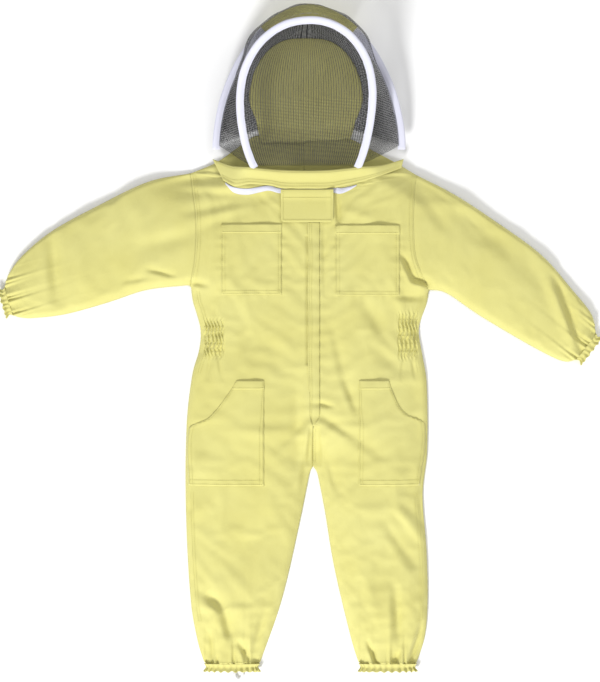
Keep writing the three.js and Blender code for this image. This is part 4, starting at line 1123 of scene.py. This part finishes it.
# ------------------------------------------------------------------ gathered cuffs
def gathered_tube(name, edge_a, edge_b, outward, length, rises, spreads, pleat_count, depth, body, replaced):
    """Flattened tube between two edges, its cloth drawn into pleats; rises and spreads run along it."""
    floor = 0.0006
    edge_a, edge_b = Vector(edge_a), Vector(edge_b)
    middle, half = (edge_a + edge_b) / 2, (edge_a - edge_b) / 2
    outward = Vector(outward).normalized()
    rise_at, spread_at = spline([(r, 0) for r in rises]), spline([(s, 0) for s in spreads])
    width = half.length
    around, along = pleat_count * 10, 14

    def place(u, v):
        rise = rise_at(v).x
        spread = 1 + spread_at(v).x / width
        turn = u * 2 * math.pi
        up = math.sin(turn)
        height = math.copysign(abs(up) ** 0.6, up)
        wander = 0.9 * math.sin(3 * turn + 1) + 0.5 * math.sin(7 * turn)
        pleat = math.cos(pleat_count * turn + wander + 0.8 * v)
        swing = depth * (0.45 + 0.9 * v ** 1.5) * pleat
        tilt = 0.0014 * v * math.sin((pleat_count - 3) * turn)
        at = middle + half * (math.cos(turn) * spread) + outward * (length * v + tilt)
        z = floor + rise / 2 + (rise / 2 - 0.0006) * height + swing * (0.9 if up > 0 else 0.25)
        across = half.normalized() * (swing * 0.5 * math.cos(turn))
        return placed(at.x + across.x, at.y + across.y, max(z, floor))
    bm = bmesh.new()
    grid_into(bm, around, along, place)
    bmesh.ops.remove_doubles(bm, verts=bm.verts, dist=1e-6)
    bmesh.ops.recalc_face_normals(bm, faces=bm.faces)
    centre = placed(middle.x, middle.y, rise_at(0.5).x / 2)
    thicken(bm, CLOTH, lambda face: face.normal.dot(face.calc_center_median() - centre) > 0)
    return finish_piece(bm, name, YELLOW, body, replaced, weld=1e-7)


def unit_out(top, bottom, side):
    line = Vector(top) - Vector(bottom)
    out = Vector((line.y, -line.x)).normalized()
    return out if out.x * side > 0 else -out


for label, side in (("left", -1), ("right", 1)):
    top, bottom = SLEEVES[side]["top"][-1], SLEEVES[side]["bottom"][-1]
    gathered_tube("cuff_" + label, top, bottom, unit_out(top, bottom, side), 0.014, (0.0165, 0.0135, 0.0165),
                  (0.0, -0.0035, 0.002), 17, 0.0013, "sleeve_" + label,
                  ["wrist_cuff_" + label, "wrist_elastic_" + label])
gathered_tube("hem_left", (HEM_LEFT[0], HEM_Y), (HEM_LEFT[1], HEM_Y), (0, -1), 0.0155,
              (0.0185, 0.0155, 0.0185),
              (0.0, -0.004, 0.001), 26, 0.0015, "coverall", ["ankle_cuff_left", "ankle_elastic_left"])
gathered_tube("hem_right", (HEM_RIGHT[1], HEM_Y), (HEM_RIGHT[0], HEM_Y), (0, -1), 0.0155,
              (0.0185, 0.0155, 0.0185),
              (0.0, -0.004, 0.001), 26, 0.0015, "coverall", ["ankle_cuff_right", "ankle_elastic_right"])


# ------------------------------------------------------------------ foot loops
def foot_loop(name, centre_x, mouth_y, reach):
    half = 0.008
    bend = spline([(centre_x - half, mouth_y), (centre_x - half * 0.9, mouth_y - reach * 0.7),
                   (centre_x, mouth_y - reach), (centre_x + half * 0.9, mouth_y - reach * 0.7),
                   (centre_x + half, mouth_y)])

    def place(u, v):
        at = bend(v)
        ahead = (bend(min(1, v + 0.01)) - bend(max(0, v - 0.01))).normalized()
        across = (u - 0.5) * 0.006
        return placed(at.x + ahead.y * across, at.y - ahead.x * across, 0.0044 + 0.0006 * math.sin(v * 7))
    sheet_piece(name, place, 4, 40, 0.001, ELASTIC, "coverall",
                [name.replace("strap", "foot_loop")])


foot_loop("strap_left", -0.122, HEM_Y - 0.014, 0.020)
foot_loop("strap_right", 0.176, HEM_Y + 0.044, 0.022)

# ------------------------------------------------------------------ front zip under the placket
TAPE_Z = 0.034 - 0.007
TEETH_HALF = 0.0025


def zip_tape(name, x0, x1):
    def place(u, v):
        y = mix(ZIP_BOTTOM, ZIP_TOP, v)
        return placed(mix(x0, x1, u), y, TAPE_Z + 0.0002 * math.sin(y * 90))
    sheet_piece(name, place, 4, 90, 0.0008, WHITE_TAPE, "coverall",
                [name.replace("woven_tape", "zip_tape")])


zip_tape("woven_tape_left", ZIP_X - ZIP_SLOT / 2 + TEETH_GAP, ZIP_X - TEETH_HALF - TEETH_GAP)
zip_tape("woven_tape_right", ZIP_X + TEETH_HALF + TEETH_GAP, ZIP_X + ZIP_SLOT / 2 - TEETH_GAP)


def teeth_row(name, path_at, length, body, replaced, half=0.0022, height=0.0017, pitch=0.0026):
    """Two combs of moulded teeth that mesh along a path; path_at gives a point and its sideways direction."""
    bm = bmesh.new()
    count = int(length / pitch)
    for index in range(count * 2):
        share = (index + 0.5) / (count * 2)
        at, across = path_at(share)
        ahead = Vector((across.y, -across.x, 0))
        sign = 1 if index % 2 else -1
        made = bmesh.ops.create_cube(bm, size=1)["verts"]
        for vert in made:
            slim = 0.75 if vert.co.z > 0 else 1.0
            local = Vector((vert.co.x * half * 1.5 * slim + sign * half * 0.25,
                            vert.co.y * pitch * 0.42 * slim,
                            vert.co.z * height))
            vert.co = at + across * local.x + ahead * local.y + Vector((0, 0, local.z + height / 2))
    return finish_piece(bm, name, TEETH, body, replaced, weld=1e-7)


teeth_row("front_teeth",
          lambda s: (placed(ZIP_X, mix(ZIP_BOTTOM + 0.004, ZIP_TOP, s), TAPE_Z), Vector((1, 0, 0))),
          0.466, "coverall", ["zip_teeth"])

# ------------------------------------------------------------------ neck zip
NECK_ZIP_REACH = NECK_HALF - 0.006
NECK_TAPE_WIDTH = 0.015
NECK_TAPE_THICKNESS = 0.0009
LOWEST_TAPE = 0.006                 # the tapes never lie lower than this


def hood_tape(u, v):
    x = mix(-NECK_ZIP_REACH, NECK_ZIP_REACH, u)
    y = neck_arc(x, mix(NECK_RADIUS - TEETH_GAP, NECK_RADIUS - NECK_TAPE_WIDTH, v))
    base = front_z(x, min(y, neck_arc(x, PANEL_TOP_RADIUS)))
    return placed(x, y, max(base, LOWEST_TAPE) + 0.0007 + 0.0006 * math.sin(x * 70) * (1 - v))


sheet_piece("neck_tape_hood", hood_tape, 70, 4, NECK_TAPE_THICKNESS, WHITE_TAPE, "hood",
            ["neck_zip_hood_tape"])
# the coverall's tape has slipped out below the collar at both sides of the flap
tape_middle = profile((-0.147, 0.314), (-0.131, 0.301), (-0.104, 0.297), (-0.080, 0.301), (-0.060, 0.304),
                      (-0.040, 0.299), (0.000, 0.299), (0.050, 0.301), (0.066, 0.3005), (0.082, 0.2985),
                      (0.098, 0.303), (0.113, 0.3095))
tape_half = profile((-0.147, 0.0020), (-0.131, 0.0052), (-0.104, 0.0058), (-0.060, 0.0052), (0.000, 0.0050),
                    (0.066, 0.0058), (0.082, 0.0056), (0.098, 0.0040), (0.113, 0.0012))


def slipped_tape(u, v):
    x = mix(-0.147, 0.113, u)
    y = tape_middle(x) + (v * 2 - 1) * tape_half(x)
    ground = surface_z(x, min(y, neck_arc(x, PANEL_TOP_RADIUS + 0.002)))
    return placed(x, y, max(ground, LOWEST_TAPE) + 0.0009 + 0.0009 * math.sin(math.pi * v))


sheet_piece("neck_tape_suit", slipped_tape, 110, 8, NECK_TAPE_THICKNESS, WHITE_TAPE, "coverall",
            ["neck_zip_suit_tape"])


def neck_teeth_path(share):
    x = mix(-NECK_ZIP_REACH + 0.002, NECK_ZIP_REACH - 0.002, share)
    y = neck_arc(x, NECK_RADIUS)
    out = Vector((x, y - NECK_CENTRE_Y, 0)).normalized()
    return placed(x, y, max(front_z(x, neck_arc(x, PANEL_TOP_RADIUS)), LOWEST_TAPE) + 0.0016), out


teeth_row("neck_teeth", neck_teeth_path, 2 * NECK_ZIP_REACH, "hood", ["neck_zip_teeth"],
          half=0.0020, height=0.0012)

# ------------------------------------------------------------------ hood: arches of the two spring hoops
def rear_arch(share):
    angle = math.pi * share
    across, up = math.cos(angle), abs(math.sin(angle)) ** (2 / 1.85)
    half = REAR_HALF * math.copysign(abs(across) ** (2 / 1.85), across)
    return Vector((REAR_X - half, mix(REAR_FOOT.x, REAR_TOP.x, up), mix(REAR_FOOT.y, REAR_TOP.y, up)))


def face_plan(share, grow):
    """Place on the face hoop's own plane: across, and up from its foot."""
    angle = mix(-FACE_FOOT_ANGLE, math.pi + FACE_FOOT_ANGLE, share)
    across, up = math.cos(angle), math.sin(angle)
    power = 2 / 2.1 if up > 0 else 1.0
    width = (FACE_HALF + grow) * abs(across) ** power if up > 0 else FACE_HALF * abs(across) + grow
    half = math.copysign(width, across)
    if up > 0:
        rise = FACE_WAIST + (FACE_HEIGHT + grow - FACE_WAIST) * up ** power
    else:
        rise = FACE_WAIST * (1 + up / math.sin(FACE_FOOT_ANGLE))
    length = max(rise - FACE_LEAN * half * clamp(rise / 0.06), 0)
    return FACE_X - half, length + CASING_FOOT * (1 - math.sin(math.pi * share))


def on_face(x, s, n=0.0):
    return Vector((x, HOOP_AXIS_Y + s * math.cos(FACE_TILT) - n * math.sin(FACE_TILT),
                   HOOP_AXIS_Z + s * math.sin(FACE_TILT) + n * math.cos(FACE_TILT)))


def face_arch(share, grow=0.0):
    return on_face(*face_plan(share, grow))


FACE_NORMAL = Vector((0, -math.sin(FACE_TILT), math.cos(FACE_TILT)))
REAR_SLOPE = math.atan2(REAR_TOP.y - REAR_FOOT.y, REAR_TOP.x - REAR_FOOT.x)
REAR_NORMAL = Vector((0, -math.sin(REAR_SLOPE), math.cos(REAR_SLOPE)))


def arch_frame(arch, normal, share):
    step = 0.002
    ahead = (arch(min(1, share + step)) - arch(max(0, share - step))).normalized()
    return arch(share), normal.cross(ahead).normalized()


def in_row(p):
    return placed(p.x, p.y, p.z)


hood_back_fullness = profile((0.410, 0.92), (0.440, 1.00), (0.480, 1.12), (0.520, 1.09), (0.570, 0.98),
                             (0.606, 0.86))


def hood_back_edge(share):
    angle = mix(-0.42, math.pi + 0.42, share)
    across, up = math.cos(angle), math.sin(angle)
    middle_y = HOOD_BACK_TOP - 0.116
    if up > 0:
        y = middle_y + 0.116 * up ** 0.75
    else:
        y = middle_y + (middle_y - HOOD_BACK_BOTTOM) * (up / math.sin(0.42))
    half = HOOD_BACK_HALF * hood_back_fullness(y) * math.copysign(abs(across) ** 0.6, across)
    return Vector((FACE_X - half, y))


# ------------------------------------------------------------------ casings sewn round the hoops
def hoop_casing(name, arch, normal, body, replaced, along=150):
    """Soft tube of folded tape: oval where the wire runs, pinched to a sewn edge on its inner side."""
    half_width, half_height = CASING_HALF - 0.0003, 0.0031

    def place(u, v, lift=0.0):
        middle, out = arch_frame(arch, normal, v)
        turn = u * 2 * math.pi
        across = math.cos(turn)
        pinch = 0.35 + 0.65 * ease(across, -0.85, 0.1)
        ripple = 0.0004 * math.sin(v * 190 + across * 2) * (1 - pinch) + 0.0002 * math.sin(v * 61)
        return in_row(middle + out * (across * half_width + ripple)
                      + normal * (math.sin(turn) * half_height * pinch + ripple + lift))
    bm = bmesh.new()
    grid_into(bm, 20, along, place)
    bmesh.ops.remove_doubles(bm, verts=bm.verts, dist=1e-6)
    bmesh.ops.recalc_face_normals(bm, faces=bm.faces)
    loops = [edge for edge in bm.edges if edge.is_boundary]
    bmesh.ops.holes_fill(bm, edges=loops)
    bmesh.ops.recalc_face_normals(bm, faces=bm.faces)
    finish_piece(bm, name, WHITE_TAPE, body, [replaced], weld=1e-7)
    sewn = bmesh.new()
    for turn, lift in ((0.36, 0.0004), (0.10, 0.0004)):
        sew(sewn, lambda share, t=turn, l=lift: place(t, mix(0.01, 0.99, share), l),
            line_length([arch(i / 40) for i in range(41)]), pitch=0.0042, width=0.0005, height=0.0005)
    finish_piece(sewn, name + "_stitches", WHITE_THREAD, body, weld=1e-7)


hoop_casing("face_edge", face_arch, FACE_NORMAL, "face_hoop", "face_hoop_casing")
hoop_casing("back_edge", rear_arch, REAR_NORMAL, "hood", "rear_hoop_casing")


# ------------------------------------------------------------------ mesh sheets
def mesh_sheet(name, place, columns, rows, body, replaced, thickness=0.0005, outward=faces_up, material=VEIL):
    """Insect mesh with a map in metres, so that its threads keep one pitch all over."""
    bm = bmesh.new()
    made = bmesh.ops.create_grid(bm, x_segments=columns, y_segments=rows, size=0.5, calc_uvs=True)["verts"]
    grid_uv = {vert: (clamp(vert.co.x + 0.5), clamp(vert.co.y + 0.5)) for vert in made}
    for vert in made:
        vert.co = place(*grid_uv[vert])
    width = (place(1, 0.5) - place(0, 0.5)).length
    middle_width = line_length([place(i / 20, 0.5) for i in range(21)])
    height = line_length([place(0.5, i / 20) for i in range(21)])
    uv = bm.loops.layers.uv.verify()
    for face in bm.faces:
        for loop in face.loops:
            u, v = grid_uv[loop.vert]
            loop[uv].uv = (u * max(width, middle_width), v * height)
    if sum((1 if outward(face) else -1) * face.calc_area() for face in bm.faces) < 0:
        bmesh.ops.reverse_faces(bm, faces=bm.faces)
    mesh = bpy.data.meshes.new(name)
    for face in bm.faces:
        face.smooth = True
    bm.to_mesh(mesh)
    bm.free()
    piece = bpy.data.objects.new(name, mesh)
    bpy.context.scene.collection.objects.link(piece)
    mesh.materials.append(material)
    solid = piece.modifiers.new("thickness", "SOLIDIFY")
    solid.thickness = thickness
    solid.offset = 0
    if body:
        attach(piece, body)
    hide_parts(replaced)
    return piece


VEIL_INSET = CASING_HALF - 0.003


def face_net(u, v):
    share = mix(0.006, 0.5, v)
    left, left_s = face_plan(share, -VEIL_INSET)
    right, right_s = face_plan(1 - share, -VEIL_INSET)
    x = mix(left, right, u)
    s = mix(left_s, right_s, u)
    inside = math.sin(math.pi * u) * math.sin(math.pi * clamp(s / FACE_HEIGHT))
    sag = -0.0022 * inside + 0.0010 * noise.noise(Vector((x * 14, s * 10, 2))) * math.sin(math.pi * u)
    return in_row(on_face(x, s, sag))


mesh_sheet("face_mesh", face_net, 40, 60, "face_hoop", "veil_front")


def bowl(share, rise):
    """Rounded rear of the hood, from the cotton on the floor up to the rear hoop."""
    inner, outer = hood_back_edge(share), rear_arch(share)
    spread, lift = math.sin(rise * math.pi / 2), 1 - math.cos(rise * math.pi / 2)
    push = CROWN_BULGE * math.sin(math.pi * rise) * math.sin(math.pi * share) ** 2
    wrinkle = 0.0016 * math.sin(math.pi * rise) * noise.noise(Vector((share * 16, rise * 3, 4)))
    return Vector((mix(inner.x, outer.x, spread), mix(inner.y, outer.y, spread) + push,
                   mix(ON_FLOOR, outer.z - 0.0042, lift) + wrinkle))


def bowl_part(from_share, to_share, from_rise, to_rise):
    return lambda u, v: in_row(bowl(mix(from_share, to_share, u), mix(from_rise, to_rise, v)))


def faces_out_of_hood(face):
    centre = placed(REAR_X, 0.51, 0.06)
    return face.normal.dot(face.calc_center_median() - centre) > 0


mesh_sheet("mesh_back_left", bowl_part(HOOD_SIDE_SHARE, CROWN_FROM, 0.0, 1), 60, 20, "hood", "veil_back_left",
           outward=faces_out_of_hood)
mesh_sheet("mesh_back_right", bowl_part(CROWN_TO, 1 - HOOD_SIDE_SHARE, 0.0, 1), 60, 20, "hood",
           "veil_back_right", outward=faces_out_of_hood)
mesh_sheet("mesh_back_top", bowl_part(CROWN_FROM, CROWN_TO, 0.0, CROWN_FOOT), 40, 10, "hood", "veil_back_top",
           outward=faces_out_of_hood)


def band_net(u, v):
    share = mix(0.012, 0.988, u)
    near_middle, near_out = arch_frame(face_arch, FACE_NORMAL, share)
    far_middle, far_out = arch_frame(rear_arch, REAR_NORMAL, share)
    near = near_middle + near_out * (CASING_HALF - 0.002) + FACE_NORMAL * 0.0005
    over_top = ease(math.sin(math.pi * u), 0.62, 0.84)
    reach_out = mix(0.002 - CASING_HALF, CASING_HALF + 0.0012, over_top)
    far = far_middle + far_out * reach_out + REAR_NORMAL * mix(0.0022, 0.0030, over_top)
    slack = (0.007 + 0.004 * over_top) * math.sin(math.pi * v) * (0.35 + 0.65 * math.sin(math.pi * u))
    slack += 0.0035 * math.sin(math.pi * v) * noise.noise(Vector((u * 22, v * 1.5, 6)))
    out = Vector((near_out.x, near_out.y * 0.8, 0.45)).normalized()
    return in_row(far.lerp(near, v) + out * slack)


band = mesh_sheet("mesh_between_hoops", band_net, 150, 24, None, "veil_band", outward=faces_out_of_hood,
                  material=SIDE_VEIL)


# ------------------------------------------------------------------ cotton back and crown of the hood
def cotton_sheet(name, place, columns, rows, body, replaced, outward=faces_up, thickness=CLOTH):
    return sheet_piece(name, place, columns, rows, thickness, YELLOW, body, replaced, outward, 1e-7)


def back_cotton(u, v):
    left, right = hood_back_edge(v / 2), hood_back_edge(1 - v / 2)
    x, y = mix(left.x, right.x, u), mix(left.y, right.y, u)
    inside = math.sin(math.pi * u) * math.sin(math.pi * clamp(v * 0.9 + 0.05))
    swell_up = 0.0040 * inside + 0.0022 * inside * noise.noise(Vector((x * 13, y * 15, 8)))
    # its lower edge lies over the back of the coverall, in two lengths that meet in a step
    lap = ease(0.450 - y, 0.0, 0.040)
    y -= lap * (0.016 + 0.004 * math.tanh((FACE_X - x) / 0.004) + 0.0015 * math.sin(x * 46))
    swell_up += 0.0034 * ease(0.420 - y, 0.0, 0.010)
    return placed(x, y, ON_FLOOR + max(swell_up, 0))


cotton_sheet("back_of_hood", back_cotton, 40, 64, "hood", ["hood_back"])
CROWN_WRAP = 0.7                # share of the crown's depth below the casing; the rest wraps over it


def crown_cotton(u, v):
    share = mix(CROWN_FROM, CROWN_TO, u)
    middle, out = arch_frame(rear_arch, REAR_NORMAL, share)

    def round_casing(turn):
        return (middle + out * (math.cos(turn) * (CASING_HALF + 0.0009))
                + REAR_NORMAL * (math.sin(turn) * 0.0042))
    if v > CROWN_WRAP:
        return in_row(round_casing(mix(-0.6, 2.5, (v - CROWN_WRAP) / (1 - CROWN_WRAP))))
    near_top = 0.97
    at = bowl(share, mix(CROWN_FOOT, near_top, v / CROWN_WRAP))
    return in_row(at + (round_casing(-0.6) - bowl(share, near_top)) * ease(v, 0.3, CROWN_WRAP))


cotton_sheet("crown_of_hood", crown_cotton, 50, 34, "hood", ["hood_crown"], faces_out_of_hood)

# ------------------------------------------------------------------ collar
def collar_height(x):
    reach = abs(x - REAR_X) - 0.132
    return mix(COLLAR_Z, 0.020, clamp(reach / 0.05) ** 1.3)


collar_low = spline([(-0.151, 0.319), (-0.127, 0.307), (-0.097, 0.311), (-0.058, 0.308), (-0.030, 0.3022),
                     (0.016, 0.3020), (0.060, 0.3022), (0.088, 0.3075), (0.116, 0.314), (0.155, 0.326),
                     (0.203, 0.345)])
collar_high = spline([(-0.173, 0.363), (-0.134, 0.348), (-0.100, 0.3435), (-0.062, 0.3395), (-0.028, 0.3375),
                      (0.012, 0.3365), (0.055, 0.3375), (0.088, 0.3405), (0.122, 0.344), (0.164, 0.349),
                      (0.207, 0.363)])


def collar_place(u, v, lift=0.0):
    at = collar_low(u).lerp(collar_high(u), v)
    neck_x = clamp(at.x, -0.2, 0.2)
    clear = front_z(at.x, min(at.y, neck_arc(neck_x, NECK_RADIUS))) + 0.0042
    roll = 0.0016 * math.sin(math.pi * v)
    stand = 0.0125 * ease(v, 0.30, 0.95) * (1 - ease(abs(at.x - FACE_X), 0.105, 0.150))
    wave = 0.0008 * math.sin(at.x * 85) * (1 - v)
    return placed(at.x, at.y, max(collar_height(at.x), clear) + roll + wave + stand + lift)


cotton_sheet("collar_band", collar_place, 110, 12, "hood", ["collar"], thickness=0.0012)
collar_stitches = bmesh.new()
for row in (0.14, 0.30, 0.86):
    sew(collar_stitches, lambda s, r=row: collar_place(mix(0.01, 0.99, s), r, 0.0007), 0.40)
finish_piece(collar_stitches, "collar_stitches", THREAD, "hood", weld=1e-7)

# ------------------------------------------------------------------ metal and patches kept from the frame
KEPT = (
    (STEEL, ("zip_slider", "zip_pull", "zip_bottom_stop", "neck_slider_left", "neck_slider_right",
             "neck_pull_left", "neck_pull_right", "face_hoop", "rear_hoop")),
    (LOOPS, ("hook_patch_left", "hook_patch_right", "loop_patch_left", "loop_patch_right")),
    (ELASTIC, ("waist_elastic_left", "waist_elastic_right")),
)
for material, names in KEPT:
    for node in names:
        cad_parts[node].data.materials.clear()
        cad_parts[node].data.materials.append(material)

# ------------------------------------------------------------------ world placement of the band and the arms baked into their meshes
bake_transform(band)
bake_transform(left_arm)
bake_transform(right_arm)

# ------------------------------------------------------------------ floor, lights and camera
def floor_material():
    nodes = Nodes("pale studio floor")
    nodes.link(nodes.ramp(nodes.noise(nodes.coordinates(), 3, 2), 0.3, 0.7,
                          (0.92, 0.92, 0.92), (0.94, 0.94, 0.94)),
               nodes.shader.inputs["Base Color"])
    nodes.set(Roughness=0.9, Specular_IOR_Level=0.1)
    return nodes.material


bm = bmesh.new()
bmesh.ops.create_grid(bm, x_segments=2, y_segments=2, size=6)
bmesh.ops.translate(bm, verts=bm.verts, vec=(0, 0, -0.0005))
floor_mesh = bpy.data.meshes.new("floor")
bm.to_mesh(floor_mesh)
bm.free()
floor = bpy.data.objects.new("floor", floor_mesh)
bpy.context.scene.collection.objects.link(floor)
floor_mesh.materials.append(floor_material())


def area_light(name, at, aim, size, power):
    light = bpy.data.lights.new(name, "AREA")
    light.shape = "DISK"
    light.size = size
    light.energy = power
    lamp = bpy.data.objects.new(name, light)
    bpy.context.scene.collection.objects.link(lamp)
    lamp.location = at
    lamp.rotation_euler = (Vector(aim) - Vector(at)).to_track_quat("-Z", "Y").to_euler()


area_light("key", (-1.9, -5.0, 3.6), (0, 0, 0), 1.6, 420)
area_light("fill", (1.8, 1.6, 3.0), (0, 0, 0), 2.6, 30)
world = bpy.data.worlds.new("studio")
world.use_nodes = True
world.node_tree.nodes["Background"].inputs["Color"].default_value = (1, 1, 1, 1)
world.node_tree.nodes["Background"].inputs["Strength"].default_value = 0.60
bpy.context.scene.world = world
bpy.context.scene.view_settings.view_transform = "Standard"

CAMERA_HEIGHT = 3.5
SENSOR_HEIGHT = 24
VIEW_HEIGHT = 1.364
camera_data = bpy.data.cameras.new("camera")
camera_data.sensor_fit = "VERTICAL"
camera_data.sensor_height = SENSOR_HEIGHT
camera_data.lens = SENSOR_HEIGHT * CAMERA_HEIGHT / VIEW_HEIGHT
camera_data.clip_end = 20
camera = bpy.data.objects.new("camera", camera_data)
bpy.context.scene.collection.objects.link(camera)
camera.location = placed(0.001, 0.001, CAMERA_HEIGHT)
bpy.context.scene.camera = camera
